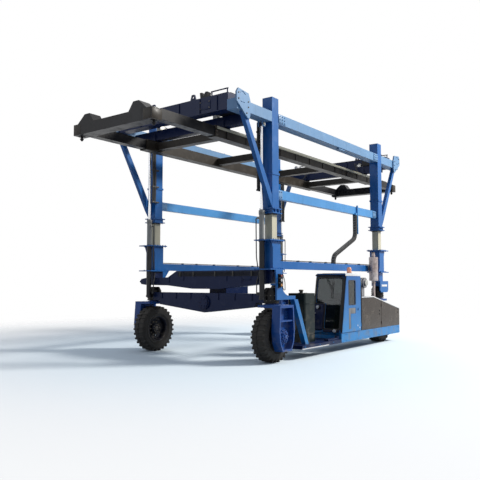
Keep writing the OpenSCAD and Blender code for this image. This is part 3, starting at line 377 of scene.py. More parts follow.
BLUE = (0.010, 0.125, 0.40)
LOW_BLUE = (0.018, 0.215, 0.54)
FINISH = {
    "paint_blue": paint("enamel_blue", BLUE, low_tone=LOW_BLUE, tread=True),
    # A near-black copy of the blue enamel for faces that stand in shade: painted shade.
    "paint_dark_blue": paint("enamel_blue_painted_shade", (0.003, 0.013, 0.062), rough=0.36, dirt=0.6, shine=0.15),
    # A pale copy of the blue enamel for sunlit faces: painted highlight.
    "paint_light_blue": paint("enamel_blue_painted_highlight", (0.075, 0.290, 0.62), rough=0.38, fade=0.4),
    "fork_blue": paint("enamel_fork", (0.008, 0.070, 0.29), dirt=0.9, wear=1.3),
    "rim_paint": paint("enamel_rim", (0.006, 0.009, 0.020), rough=0.45, wear=1.4, shine=0.15),
    "tyre": rubber("tyre_rubber", (0.008, 0.007, 0.0065), dusty=0.22),
    "cream_steel": paint("enamel_cream", (0.62, 0.58, 0.44), rough=0.36, fade=0.15),
    "chrome_rod": plated("hard_chrome"),
    "black_paint": paint("enamel_black", (0.009, 0.009, 0.011), rough=0.34, fade=0.1, shine=0.15),
    "chain_black": plastic("chain_nylon", (0.012, 0.012, 0.013), rough=0.45, grain=70.0),
    "tank_green": paint("enamel_tank", (0.003, 0.011, 0.012), rough=0.30, shine=0.15),
    # The glass is tinted near-black to stand for dark reflections and the shaded cab behind it: painted
    # shade.
    "glazing": glass("window_glass_painted_shade", (0.08, 0.11, 0.105)),
    "seat_black": seat_cloth("seat_cover"),
    "console_grey": plastic("console_moulding", (0.17, 0.175, 0.18)),
    "door_brown": paint("enamel_engine_door", (0.026, 0.016, 0.009), rough=0.20, dirt=0.5, fade=0.6,
                        wear=1.8),
    "engine_grey": bare_metal("engine_casting", (0.20, 0.20, 0.20), rough=0.5),
    "exhaust_grey": bare_metal("muffler_steel", (0.46, 0.42, 0.42), rough=0.42, heat=0.35),
    "filter_silver": bare_metal("filter_alloy", (0.34, 0.34, 0.35), rough=0.34),
    "beacon_amber": lens("beacon_lens", (0.90, 0.42, 0.26), glow=0.10),
    "lamp_red": lens("lamp_lens_red", (0.55, 0.06, 0.04)),
}
WHITE = paint("enamel_white", (0.78, 0.79, 0.80), rough=0.36, fade=0.0, wear=0.5)
BOLT = bare_metal("zinc_bolt", (0.50, 0.50, 0.47), rough=0.40)
NUT = bare_metal("grimy_nut", (0.11, 0.10, 0.09), rough=0.48)
HOSE = rubber("hose_rubber", (0.012, 0.012, 0.013), dusty=0.25, rough=0.55, grain=200.0)
GASKET = rubber("window_rubber", (0.010, 0.010, 0.011), dusty=0.2, rough=0.60)
CLEAR_LENS = lens("lamp_lens_clear", (0.85, 0.87, 0.90))
AMBER_LENS = lens("lamp_lens_amber", (0.90, 0.36, 0.04))
# Dark brown that stands for the cream girder in the top beams' shadow: painted shade.
GIRDER_PAINTED_SHADE = paint("enamel_girder_painted_shade", (0.030, 0.024, 0.018), rough=0.40, fade=0.5, wear=1.2, shine=0.15)
# Below the top of the lower sleeves the barrel is near-black: painted shade beside the sleeve.
BARREL = paint("enamel_barrel", (0.36, 0.36, 0.34), rough=0.34, fade=0.15, painted_shade_below=2.79)
# The cab's blue enamel, with painted shade on its inner walls.
CAB_WITH_PAINTED_SHADE = paint("enamel_cab_painted_shade", BLUE, low_tone=LOW_BLUE,
              painted_cab_shade=(CAB_LOW.y + 0.02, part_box("cab_door")[0].y - 0.020,
                      CAB_WALLS_X[1] - 0.025 + CAB_LOW.z * math.tan(RAKE), 1.975))
# A pale copy of the blue enamel for the top beams, end plates and splice plates: painted glare.
BLUE_PAINTED_GLARE = paint("enamel_blue_painted_glare", (0.150, 0.300, 0.510), rough=0.38, fade=0.4)
OWN_FINISH = {"cab_shell": CAB_WITH_PAINTED_SHADE, "top_beams": BLUE_PAINTED_GLARE, "end_plates": BLUE_PAINTED_GLARE, "lift_barrels": BARREL,
              "spreader_frame": GIRDER_PAINTED_SHADE, "lamp_stack": FINISH["black_paint"]}

for part in frame["record"]["subparts"]:
    node = frame["nodes"].get(part["node"])
    if node is not None:
        for place in node.material_slots:
            place.material = OWN_FINISH.get(part["node"], FINISH[part["material_slot"]])


# Ways of shaping

def carried(made, body):
    """Lets an object ride on a body, or bakes its place into its mesh if that is None."""
    if body:
        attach(made, body)
    else:
        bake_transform(made)
    return made


def piece(name, mesh, body, slot, finish=None, smooth=30):
    """Makes an object of a bmesh, in its slot's finish unless another is given, smooth below an angle."""
    data = bpy.data.meshes.new(name)
    if smooth:
        for face in mesh.faces:
            face.smooth = True
        for edge in mesh.edges:
            if len(edge.link_faces) == 2:
                edge.smooth = edge.calc_face_angle(0.0) < math.radians(smooth)
    mesh.to_mesh(data)
    mesh.free()
    data.materials.append(finish or FINISH[slot])
    return carried(put(name, data), body)


def edges_of(made):
    """The edges of what an operator has just made."""
    return list({edge for vert in made["verts"] for edge in vert.link_edges})


def soften(mesh, edges, width, segments=2):
    bmesh.ops.bevel(mesh, geom=edges, offset=width, offset_type="OFFSET", segments=segments,
                    affect="EDGES", profile=0.5, material=-1)


def block(mesh, low, high, round_off=0.0, turn=None, steps=2):
    """A box between two corners, in any order, with rounded edges, turned about its middle."""
    low, high = Vector(map(min, low, high)), Vector(map(max, low, high))
    size = Matrix.Diagonal((*(high - low), 1.0))
    middle = Matrix.Translation((low + high) / 2)
    made = bmesh.ops.create_cube(mesh, size=1.0, matrix=middle @ (turn or Matrix()) @ size)
    if round_off:
        soften(mesh, edges_of(made), round_off, steps)


def blocks_at(mesh, xs, ys, zs, size, round_off=0.0):
    """Blocks of one size about every crossing of the given places."""
    half = Vector(size) / 2
    for place in itertools.product(xs, ys, zs):
        block(mesh, Vector(place) - half, Vector(place) + half, round_off)


def along(start, end):
    """The turn and place that carry the Z axis onto the line from start to end."""
    start, end = Vector(start), Vector(end)
    return Matrix.Translation((start + end) / 2) @ (end - start).to_track_quat("Z", "Y").to_matrix().to_4x4()


def bar(mesh, start, end, radius, sides=16, end_radius=None, chamfer=0.0):
    """A round bar or cone between two points."""
    length = (Vector(end) - Vector(start)).length
    made = bmesh.ops.create_cone(mesh, cap_ends=True, segments=sides, radius1=radius,
                                 radius2=radius if end_radius is None else end_radius,
                                 depth=length, matrix=along(start, end))
    if chamfer:
        soften(mesh, [edge for edge in edges_of(made) if edge.calc_face_angle(0.0) > 1.0], chamfer)


def plank(mesh, start, end, depth, height, round_off):
    """A flat bar between two points: depth sideways, height upright."""
    length = (Vector(end) - Vector(start)).length
    size = Matrix.Diagonal((depth, height, length, 1.0))
    made = bmesh.ops.create_cube(mesh, size=1.0, matrix=along(start, end) @ size)
    soften(mesh, edges_of(made), round_off, 1)


def turned(mesh, profile, centre, axis, steps=48):
    """A ring or cap: an outline of (radius, height) points, spun about an axis through centre."""
    turn = Vector(axis).to_track_quat("Z", "Y").to_matrix().to_4x4()
    place = Matrix.Translation(centre) @ turn
    verts = [mesh.verts.new(place @ Vector((radius, 0.0, height))) for radius, height in profile]
    edges = [mesh.edges.new((a, b)) for a, b in zip(verts, verts[1:])]
    bmesh.ops.spin(mesh, geom=verts + edges, cent=centre, axis=place.to_3x3() @ Vector(UP),
                   angle=math.tau, steps=steps, use_merge=True)


def band(mesh, centre, axis, inner, outer, half, steps=32, slope=0.0):
    """A flat ring around a round part, open where it sits on it."""
    profile = [(inner, -half), (outer, slope - half), (outer, half - slope), (inner, half)]
    turned(mesh, profile, centre, axis, steps)


def tidy(mesh):
    """Merges doubles and turns every face outwards."""
    bmesh.ops.remove_doubles(mesh, verts=mesh.verts, dist=0.00005)
    bmesh.ops.recalc_face_normals(mesh, faces=mesh.faces)
    return mesh


def bolt(mesh, place, facing, across):
    """A hexagon head on its washer."""
    place, facing = Vector(place), Vector(facing).normalized()
    bar(mesh, place - facing * 0.002, place + facing * across * 0.12, across * 0.72, 14)
    bar(mesh, place, place + facing * across * 0.62, across * 0.56, 6, end_radius=across * 0.50)


def bolts_at(mesh, xs, ys, zs, facing, across):
    """Bolts at every crossing of the given places."""
    for place in itertools.product(xs, ys, zs):
        bolt(mesh, place, facing, across)


def circle(count):
    """Directions in the XY plane, evenly around."""
    return [Vector((math.cos(math.tau * i / count), math.sin(math.tau * i / count), 0)) for i in range(count)]


def bolt_ring(mesh, centre, facing, radius, count, across):
    turn = Vector(facing).to_track_quat("Z", "Y").to_matrix()
    for way in circle(count):
        bolt(mesh, Vector(centre) + turn @ way * radius, facing, across)


def neighbours(points):
    """Each point of a closed outline, between the one before it and the one after it."""
    points = [Vector(p) for p in points]
    return list(zip(points[-1:] + points[:-1], points, points[1:] + points[:1]))


def rounded(points, radius, steps=4, closed=False):
    """A route or a closed outline with each of its corners rounded off."""
    corners = neighbours(points)
    route = []
    for before, corner, after in corners if closed else corners[1:-1]:
        reach = min(radius, (before - corner).length * 0.45, (after - corner).length * 0.45)
        start = corner + (before - corner).normalized() * reach
        end = corner + (after - corner).normalized() * reach
        for i in range(steps + 1):
            t = i / steps
            route.append(start.lerp(corner, t).lerp(corner.lerp(end, t), t))
    return route if closed else [Vector(points[0])] + route + [Vector(points[-1])]


def pipes(name, routes, radius, body, bend, finish=None, slot="black_paint", sides=3):
    """Pipes or clamped hoses along routes of points, with rounded corners."""
    data = bpy.data.curves.new(name, "CURVE")
    data.dimensions = "3D"
    data.bevel_depth = radius
    data.bevel_resolution = sides
    data.use_fill_caps = True
    for points in routes:
        route = rounded(points, bend)
        spline = data.splines.new("POLY")
        spline.points.add(len(route) - 1)
        for point, place in zip(spline.points, route):
            point.co = (*place, 1.0)
        spline.use_smooth = True
    data.materials.append(finish or FINISH[slot])
    return carried(put(name, data), body)


# Tyres and wheels

def lug_shape(half, tread, s):
    """Mesh data of one shoulder lug: narrow at the crown, broad at the shoulder, run out down the wall."""
    mesh = bmesh.new()
    for vert in bmesh.ops.create_cube(mesh, size=1.0)["verts"]:
        outer, top = vert.co.y * s > 0, vert.co.z > 0
        width = (0.038 if outer else 0.030) * (0.56 if top else 0.74)
        vert.co.x = math.copysign(width, vert.co.x)
        if outer:
            vert.co.y = s * (half - (0.016 if top else 0.001))
            vert.co.z = TYRE_R - (0.004 if top else 0.080)
        else:
            vert.co.y = s * 0.018
            vert.co.z = TYRE_R if top else tread - 0.02
            vert.co.x += 0.012 * s
    soften(mesh, [e for e in mesh.edges if all(v.co.z > TYRE_R - 0.02 for v in e.verts)], 0.004, 1)
    data = bpy.data.meshes.new("lug")
    mesh.to_mesh(data)
    mesh.free()
    return data


def tyre(corner):
    """A tyre with a rounded wall, guard ribs, shoulder lugs and a grooved crown."""
    low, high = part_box("tyre_" + corner)
    middle = (low + high) / 2
    half = (high.y - low.y) / 2
    tread = TYRE_R - 0.020
    bead_r = 0.3155
    wall = [(0.0, 0.046), (0.012, 0.034), (0.030, 0.034), (0.040, 0.024), (0.075, 0.012), (0.080, 0.005),
            (0.092, 0.005), (0.097, 0.012), (0.150, 0.008)]
    crown = [(0.060, 0.012), (0.030, 0.024), (0.008, 0.050), (0.0, 0.075)]
    side = [(bead_r + up, half - inwards) for up, inwards in wall]
    side += [(tread - down, half - inwards) for down, inwards in crown]
    side += [(tread + 0.001, 0.012), (tread - 0.012, 0.008)]
    mesh = bmesh.new()
    turned(mesh, side + [(r, -y) for r, y in reversed(side)] + [side[0]], middle, ACROSS, 96)
    for s, lead in ((-1, 0.0), (1, 0.5)):
        shape = lug_shape(half, tread, s)
        for i in range(LUGS):
            copy = shape.copy()
            turn = Matrix.Rotation(math.tau * (i + lead) / LUGS, 4, "Y")
            copy.transform(Matrix.Translation(middle) @ turn)
            mesh.from_mesh(copy)
            bpy.data.meshes.remove(copy)
        bpy.data.meshes.remove(shape)
    made = piece("tyre_tread_" + corner, tidy(mesh), "wheel_" + corner, "tyre", smooth=38)
    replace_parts(made, "tyre_" + corner)


def wheel_and_fork(corner):
    """Lock rings, studs, hub cap and valve of a wheel; hub plate bolts and ribs of its fork."""
    ends, side = CORNERS[corner]
    out = Vector((0, ends * side, 0))
    centre = Vector((ends * AXLE_X, side * MAST_Y, TYRE_R))
    mesh = bmesh.new()
    lip = [(0.292, 0.118), (0.310, 0.124), (0.325, 0.140), (0.331, 0.152), (0.326, 0.158), (0.312, 0.152),
           (0.296, 0.134), (0.292, 0.118)]
    for s in SIDES:
        turned(mesh, [(r, s * height) for r, height in lip], centre, out, 72)
    piece("lock_rings_" + corner, tidy(mesh), "wheel_" + corner, "rim_paint", smooth=40)
    nuts = bmesh.new()
    bolt_ring(nuts, centre + out * -0.090, -out, 0.098, 10, 0.024)
    bolt_ring(nuts, centre + out * -0.022, -out, 0.165, 10, 0.034)
    bar(nuts, centre - out * 0.088, centre - out * 0.112, 0.062, 24, 0.052, 0.006)
    valve = centre + Vector((0.245, 0, 0))
    bar(nuts, valve - out * 0.02, valve - out * 0.075, 0.008, 10)
    piece("wheel_nuts_" + corner, nuts, "wheel_" + corner, "rim_paint", NUT)
    hub = centre + out * 0.385
    bolts = bmesh.new()
    bolt_ring(bolts, hub - out * 0.031, out, 0.140, 10, 0.028)
    bolt_ring(bolts, hub, out, 0.088, 8, 0.030)
    bar(bolts, hub, hub + out * 0.022, 0.052, 24, 0.044, 0.004)
    bolt_ring(bolts, (centre.x, centre.y, 1.300), UP, 0.168, 12, 0.026)
    piece("fork_bolts_" + corner, bolts, "fork_" + corner, "fork_blue")
    ribs = bmesh.new()
    blocks_at(ribs, (centre.x - 0.165, centre.x + 0.165), [centre.y + out.y * 0.306], (1.015, 1.085, 1.155),
              (0.110, 0.012, 0.020), 0.004)
    piece("fork_ribs_" + corner, tidy(ribs), "fork_" + corner, "fork_blue")


for corner in CORNERS:
    tyre(corner)
    wheel_and_fork(corner)


# Steering heads, brackets and the front beams

def head_fittings():
    """Cover rings and bolts of the steering heads."""
    rings, bolts = bmesh.new(), bmesh.new()
    for ends, side, x, y in MASTS:
        for z in (1.345, 1.455, 1.575):
            band(rings, (x, y, z), UP, 0.178, 0.188, 0.014, 48, 0.004)
        for z in (1.400, 1.515):
            for way in circle(12):
                bolt(bolts, Vector((x, y, z)) + way * 0.179, way, 0.022)
    piece("head_rings", tidy(rings), "chassis", "black_paint", smooth=40)
    piece("head_bolts", bolts, "chassis", "black_paint", NUT)


def beam_fittings():
    """Bolts of the pendulum pivot, cover plates of the front beam, stiffeners on the axle beam."""
    bolts, plates = bmesh.new(), bmesh.new()
    low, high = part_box("front_crossbeam")
    pivot_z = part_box("pivot_housing")[0].z + 0.170
    bolt_ring(bolts, (high.x + 0.04, 0, pivot_z), AHEAD, 0.157, 12, 0.022)
    bolt_ring(bolts, (high.x + 0.06, 0, pivot_z), AHEAD, 0.095, 6, 0.026)
    for y, top in ((-1.62, 0.18), (-1.20, 0.15), (-0.70, 0.01), (0.70, 0.01), (1.15, 0.01), (1.62, 0.01)):
        bottom = 0.25 if abs(y) < 1 else 0.30
        for x0, x1 in ((high.x - 0.002, high.x + 0.014), (low.x - 0.014, low.x + 0.002)):
            block(plates, (x0, y - 0.012, high.z - bottom), (x1, y + 0.012, high.z - top), 0.003)
    blocks_at(plates, [high.x + 0.004], [1.30], [high.z - 0.15], (0.012, 0.26, 0.19), 0.004)
    bolts_at(bolts, [high.x + 0.010], (1.20, 1.40), (high.z - 0.22, high.z - 0.08), AHEAD, 0.020)
    blocks_at(plates, [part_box("axle_beam")[1].x + 0.009], both(0.45, 0.95, 1.45), [1.4675],
              (0.022, 0.020, 0.155), 0.003)
    piece("beam_plates", tidy(plates), "chassis", "paint_dark_blue")
    piece("beam_bolts", bolts, "chassis", "paint_dark_blue")
    plate = bmesh.new()
    low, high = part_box("mast_feet")
    block(plate, (low.x + 0.10, high.y - 0.001, 1.672), (low.x + 0.50, high.y + 0.004, 1.736), 0.0015)
    piece("blank_plate", plate, "chassis", "paint_blue", WHITE)


# Masts

def mast_fittings():
    """Flange bolts, clamp bolts and wear pads of the masts."""
    lower, upper, pads = bmesh.new(), bmesh.new(), bmesh.new()
    foot, neck = (corner.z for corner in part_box("lower_sleeves"))
    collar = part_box("upper_masts")[0].z
    for ends, side, x, y in MASTS:
        for z, facing in ((foot + 0.025, 1), (neck, 1), (neck - 0.025, -1)):
            for step in [i * BOLT_PITCH for i in range(-2, 3)]:
                for dx, dy in ((step, 0.200), (step, -0.200), (-0.200, step)):
                    bolt(lower, (x + ends * dx, y + side * dy, z), (0, 0, facing), 0.028)
        for z, facing in ((collar, -1), (collar + 0.120, 1)):
            for step in (-BOLT_PITCH, 0.0, BOLT_PITCH):
                for dx, dy in ((step, 0.168), (step, -0.168), (0.168, step), (-0.168, step)):
                    bolt(upper, (x + dx, y + dy, z), (0, 0, facing), 0.024)
        blocks_at(upper, (x - 0.147, x + 0.153), [y], [collar + 0.055], (0.014, 0.110, 0.044), 0.003)
        for s in SIDES:
            inner, outer = s * 0.1015 - 0.001, s * 0.1195
            block(pads, (x - 0.09, y + inner, collar - 0.030), (x + 0.09, y + outer, collar), 0.003)
            block(pads, (x + inner, y - 0.09, collar - 0.030), (x + outer, y + 0.09, collar), 0.003)
    piece("mast_bolts_lower", lower, "chassis", "paint_blue")
    piece("mast_bolts_upper", upper, "upper_frame", "paint_blue")
    piece("wear_pads", tidy(pads), "upper_frame", "chain_black")


def lift_fittings():
    """Glands and port blocks of the lift cylinders, pins of their rods."""
    glands, pins = bmesh.new(), bmesh.new()
    low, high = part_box("lift_barrels")
    pin_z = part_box("lift_rods")[1].z - 0.055
    for ends, side, mast_x, mast_y in MASTS:
        x, y = ends * (high.x - 0.0705), mast_y - side * 0.065
        for z in (high.z - 0.085, high.z - 0.060):
            band(glands, (x, y, z), UP, 0.0625, 0.074, 0.010, slope=0.004)
        for z, profile in ((high.z, [(0.0355, 0.0), (0.050, 0.002), (0.046, 0.020), (0.0355, 0.022)]),
                           (low.z, [(0.0625, -0.002), (0.072, 0.004), (0.072, 0.052), (0.0625, 0.060)])):
            turned(glands, profile, (x, y, z), UP, 32)
        port_y = y - side * 0.060 + 0.010
        for half, reach, back, z0, z1 in ((0.030, 0.100, 0.024, low.z + 0.10, low.z + 0.17),
                                          (0.026, 0.098, 0.020, high.z - 0.20, high.z - 0.14)):
            block(glands, (x - half, y - side * reach - back, z0), (x + half, port_y, z1), 0.005)
        bar(pins, (x, y - 0.105, pin_z), (x, y + 0.105, pin_z), 0.024, 20, chamfer=0.003)
        for s in SIDES:
            bar(pins, (x, y + s * 0.078, pin_z), (x, y + s * 0.088, pin_z), 0.040, 20)
    piece("cylinder_glands", tidy(glands), "chassis", "black_paint", BARREL, smooth=40)
    piece("rod_pins", pins, "upper_frame", "paint_light_blue", BOLT)


def mast_hoses():
    """Hose bundles that hang inside the upper masts, in clips."""
    routes, clips = [], bmesh.new()
    for ends, side, mast_x, mast_y in MASTS:
        for lane in range(3):
            x = mast_x + ends * (0.185 + lane * 0.046)
            y = mast_y - side * (0.175 + 0.010 * (lane % 2))
            sag = (x - ends * 0.01, y - side * 0.012, 4.55)
            routes.append([(x, y, 5.52), (x, y, 4.9), sag, (x, y, 3.94)])
        for z in (5.30, 4.80, 4.35, 3.94):
            for x0, y0, x1 in ((0.060, 0.120, 0.145), (0.135, 0.152, 0.30)):
                block(clips, (mast_x + ends * x0, mast_y - side * y0, z - 0.02),
                      (mast_x + ends * x1, mast_y - side * 0.205, z + 0.02), 0.006)
    pipes("mast_hoses", routes, 0.021, "upper_frame", 0.10, HOSE, sides=4)
    piece("mast_clips", clips, "upper_frame", "chain_black")


head_fittings()
beam_fittings()
mast_fittings()
lift_fittings()
mast_hoses()


# Cab

def grown(points, width):
    """An outline moved outwards by a width. Its points run anticlockwise."""
    moved = []
    for before, corner, after in neighbours(points):
        a, b = (corner - before).normalized(), (after - corner).normalized()
        out_a, out_b = Vector((a.y, -a.x)), Vector((b.y, -b.x))
        moved.append(corner + (out_a + out_b) * width / (1.0 + out_a.dot(out_b)))
    return moved


def surround(mesh, points, place, width, depth, radius=0.06):
    """A flat ring around a window. place turns the outline's (u, v) into the model's frame."""
    rings = []
    for outline, r in ((points, radius), (grown(points, width), radius + width)):
        verts = [mesh.verts.new(place(p.x, p.y)) for p in rounded(outline, r, 5, closed=True)]
        rings.append([mesh.edges.new((a, b)) for a, b in zip(verts, verts[1:] + verts[:1])])
    made = bmesh.ops.bridge_loops(mesh, edges=rings[0] + rings[1])
    out = (place(0, 0) - place(0, 0, 1.0)).normalized() * -depth
    body = bmesh.ops.extrude_face_region(mesh, geom=made["faces"])
    bmesh.ops.translate(mesh, verts=[g for g in body["geom"] if isinstance(g, bmesh.types.BMVert)], vec=out)


def box_outline(u0, u1, v0, v1):
    return [(u0, v0), (u1, v0), (u1, v1), (u0, v1)]


def on_screen(y, up, out=0.0):
    """A place on the raked windscreen's plane: up from the cab's floor, and out ahead of it."""
    return Vector((CAB_WALLS_X[1] - up * math.sin(RAKE) + out * math.cos(RAKE), y,
                   CAB_LOW.z + up * math.cos(RAKE) + out * math.sin(RAKE)))


def screen_block(mesh, ys, ups, outs):
    """A block that lies on the windscreen's plane, between pairs of places across, up and out."""
    made = bmesh.ops.create_cube(mesh, size=1.0)
    for v in made["verts"]:
        v.co = on_screen(ys[v.co.y > 0], ups[v.co.z > 0], outs[v.co.x > 0])
    return made


def cab_windows():
    """Rubbers around the screen, the windows and the door's window."""
    back, inner = CAB_WALLS_X[0], CAB_LOW.y
    rubbers, ring = bmesh.new(), bmesh.new()
    screen = [(1.77, 0.11), (2.217, 0.11), (2.217, 1.460), (1.47, 1.460), (1.47, 0.78), (1.77, 0.78)]
    surround(rubbers, screen, lambda u, v, w=0.0: on_screen(u, v, w + 0.001), 0.055, 0.012, 0.055)
    surround(rubbers, box_outline(-0.80, -0.089, 1.23, 1.895),
             lambda u, v, w=0.0: Vector((-u - 0.889, inner - 0.001 - w, v)), 0.030, 0.008)
    surround(rubbers, box_outline(1.50, 2.187, 1.50, 1.895),
             lambda u, v, w=0.0: Vector((back - 0.001 - w, 3.687 - u, v)), 0.026, 0.008)
    piece("window_rubbers", tidy(rubbers), "chassis", "black_paint", GASKET, smooth=35)
    surround(ring, box_outline(0.125, 0.515, 1.215, 1.850),
             lambda u, v, w=0.0: Vector((-u, DOOR_SKIN_Y + 0.005 + w, v)), 0.020, 0.003, 0.025)
    piece("door_window_rubber", tidy(ring), "cab_door", "black_paint", GASKET, smooth=35)


def cab_panels():
    """Roof panel and gutters, nose panel and the black strip on the door's front edge."""
    front, back, inner = CAB_WALLS_X[1] - 0.234, CAB_WALLS_X[0], CAB_LOW.y
    eaves_z, roof_z = 1.978, 2.026
    roof, dark, nose, strip = bmesh.new(), bmesh.new(), bmesh.new(), bmesh.new()
    block(roof, (back - 0.002, 1.90, roof_z), (front - 0.012, 2.300, roof_z + 0.030), 0.012, steps=3)
    block(roof, (back - 0.019, 2.308, eaves_z), (front, 2.316, roof_z + 0.008), 0.003)
    piece("roof_panel", tidy(roof), "chassis", "paint_blue", WHITE)
    block(dark, (back - 0.002, inner + 0.035, roof_z), (front - 0.012, 1.895, roof_z + 0.020), 0.010, steps=3)
    for x in (-0.70, -0.45, -0.20):
        block(dark, (x - 0.045, inner + 0.10, roof_z + 0.014), (x + 0.045, 1.84, roof_z + 0.028), 0.005)
    for x0, x1, y0, y1 in ((back - 0.019, front, inner - 0.004, inner + 0.004),
                           (front - 0.008, front + 0.002, inner, 2.31)):
        block(dark, (x0, y0, eaves_z), (x1, y1, eaves_z + 0.032), 0.003)
    piece("roof_dark", tidy(dark), "chassis", "black_paint")
    for ys, ups, out in (((1.435, 1.735), (0.055, 0.760), 0.050), ((1.755, 2.240), (0.012, 0.078), 0.030)):
        made = screen_block(nose, ys, ups, (-0.001, out))
        soften(nose, made["verts"] + edges_of(made), min(out * 0.9, 0.044), 5)
    piece("nose_panel", tidy(nose), "chassis", "paint_dark_blue", smooth=40)
    screen_block(strip, (2.268, 2.308), (0.020, 1.515), (-0.030, 0.004))
    piece("corner_strip", strip, "cab_door", "black_paint", GASKET)


def cab_trim():
    """Wiper, door fittings, work lamps and grab bar."""
    wiper = bmesh.new()
    bar(wiper, on_screen(1.72, 1.495), on_screen(1.72, 1.495, 0.042), 0.016, 16, chamfer=0.002)
    bar(wiper, on_screen(1.72, 1.495, 0.030), on_screen(1.94, 1.14, 0.032), 0.006, 10)
    bar(wiper, on_screen(1.72, 1.465, 0.040), on_screen(1.93, 1.15, 0.040), 0.004, 8)
    holders = [(up, 0.030, 0.012, 0.005) for up in (0.96, 1.06, 1.14, 1.22, 1.32)]
    for up, out, half, reach in [(1.14, 0.020, 0.215, 0.006)] + holders:
        middle, size = on_screen(1.939, up, out), Vector((reach, 0.006, half))
        block(wiper, middle - size, middle + size, 0.002, Matrix.Rotation(-RAKE, 4, "Y"))
    piece("wiper", wiper, "chassis", "black_paint", GASKET, smooth=35)
    buttons, panel = bmesh.new(), bmesh.new()
    for x, z in ((-0.643, 0.634), (-0.765, 0.575)):
        bar(buttons, (x, DOOR_SKIN_Y, z), (x, DOOR_SKIN_Y + 0.008, z), 0.022, 20, chamfer=0.003)
    piece("door_buttons", buttons, "cab_door", "paint_blue", WHITE)
    for x0, x1, z0 in ((-0.225, -0.125, 0.572), (-0.515, -0.235, 0.970)):
        block(panel, (x0, DOOR_SKIN_Y + 0.0005, z0), (x1, DOOR_SKIN_Y + 0.0035, 1.120), 0.001)
    piece("door_panel", panel, "cab_door", "console_grey")
    bodies, glasses = bmesh.new(), bmesh.new()
    ahead = (math.cos(RAKE), 0, math.sin(RAKE))
    for place in (on_screen(1.585, 0.66, 0.049), on_screen(2.13, 0.045, 0.029)):
        turned(bodies, [(0.0, 0.0), (0.052, 0.0), (0.058, 0.010), (0.058, 0.052), (0.050, 0.066),
                        (0.0, 0.068)], place, ahead, 28)
        turned(glasses, [(0.0, 0.074), (0.030, 0.073), (0.047, 0.0675), (0.047, 0.062), (0.0, 0.062)],
               place, ahead, 28)
    piece("work_lamp_bodies", tidy(bodies), "chassis", "black_paint", smooth=35)
    piece("work_lamp_lenses", tidy(glasses), "chassis", "lamp_red", CLEAR_LENS, smooth=40)
    grip = [(0.14, 0.049), (0.14, 0.092), (0.50, 0.092), (0.50, 0.049)]
    pipes("grab_bars", [[on_screen(1.50, up, out) for up, out in grip]], 0.010, "chassis", 0.03, WHITE,
          "paint_blue")


def cushion(name, low, high, crown, tufts):
    """A sewn cushion: crowned, sides pulled in between its corners, with channels."""
    low, high = Vector(low), Vector(high)
    mesh = bmesh.new()
    bmesh.ops.create_cube(mesh, size=1.0)
    bmesh.ops.subdivide_edges(mesh, edges=mesh.edges, cuts=17, use_grid_fill=True)
    thin = min(range(3), key=lambda i: (high - low)[i])
    wide = [i for i in range(3) if i != thin]
    for vert in mesh.verts:
        u, v, w = vert.co[wide[0]] * 2, vert.co[wide[1]] * 2, vert.co[thin] * 2
        dome = (1 - u ** 4) * (1 - v ** 4)
        seam = sum(math.exp(-((v - t) / 0.06) ** 2) for t in tufts)
        face = 1.0 - crown + crown * dome - 0.10 * seam * (1 - u ** 6)
        round_off = 1 - 0.06 * abs(w) ** 3
        vert.co[thin] = w * face / 2
        vert.co[wide[0]] = u * round_off * (1 - 0.018 * (1 - v ** 2)) / 2
        vert.co[wide[1]] = v * round_off * (1 - 0.018 * (1 - u ** 2)) / 2
    size = Matrix.Diagonal((*(high - low), 1.0))
    bmesh.ops.transform(mesh, verts=mesh.verts, matrix=Matrix.Translation((low + high) / 2) @ size)
    made = piece(name, mesh, "chassis", "seat_black", smooth=80)
    smoother = made.modifiers.new("smooth", "SUBSURF")
    smoother.levels = smoother.render_levels = 1
    return made


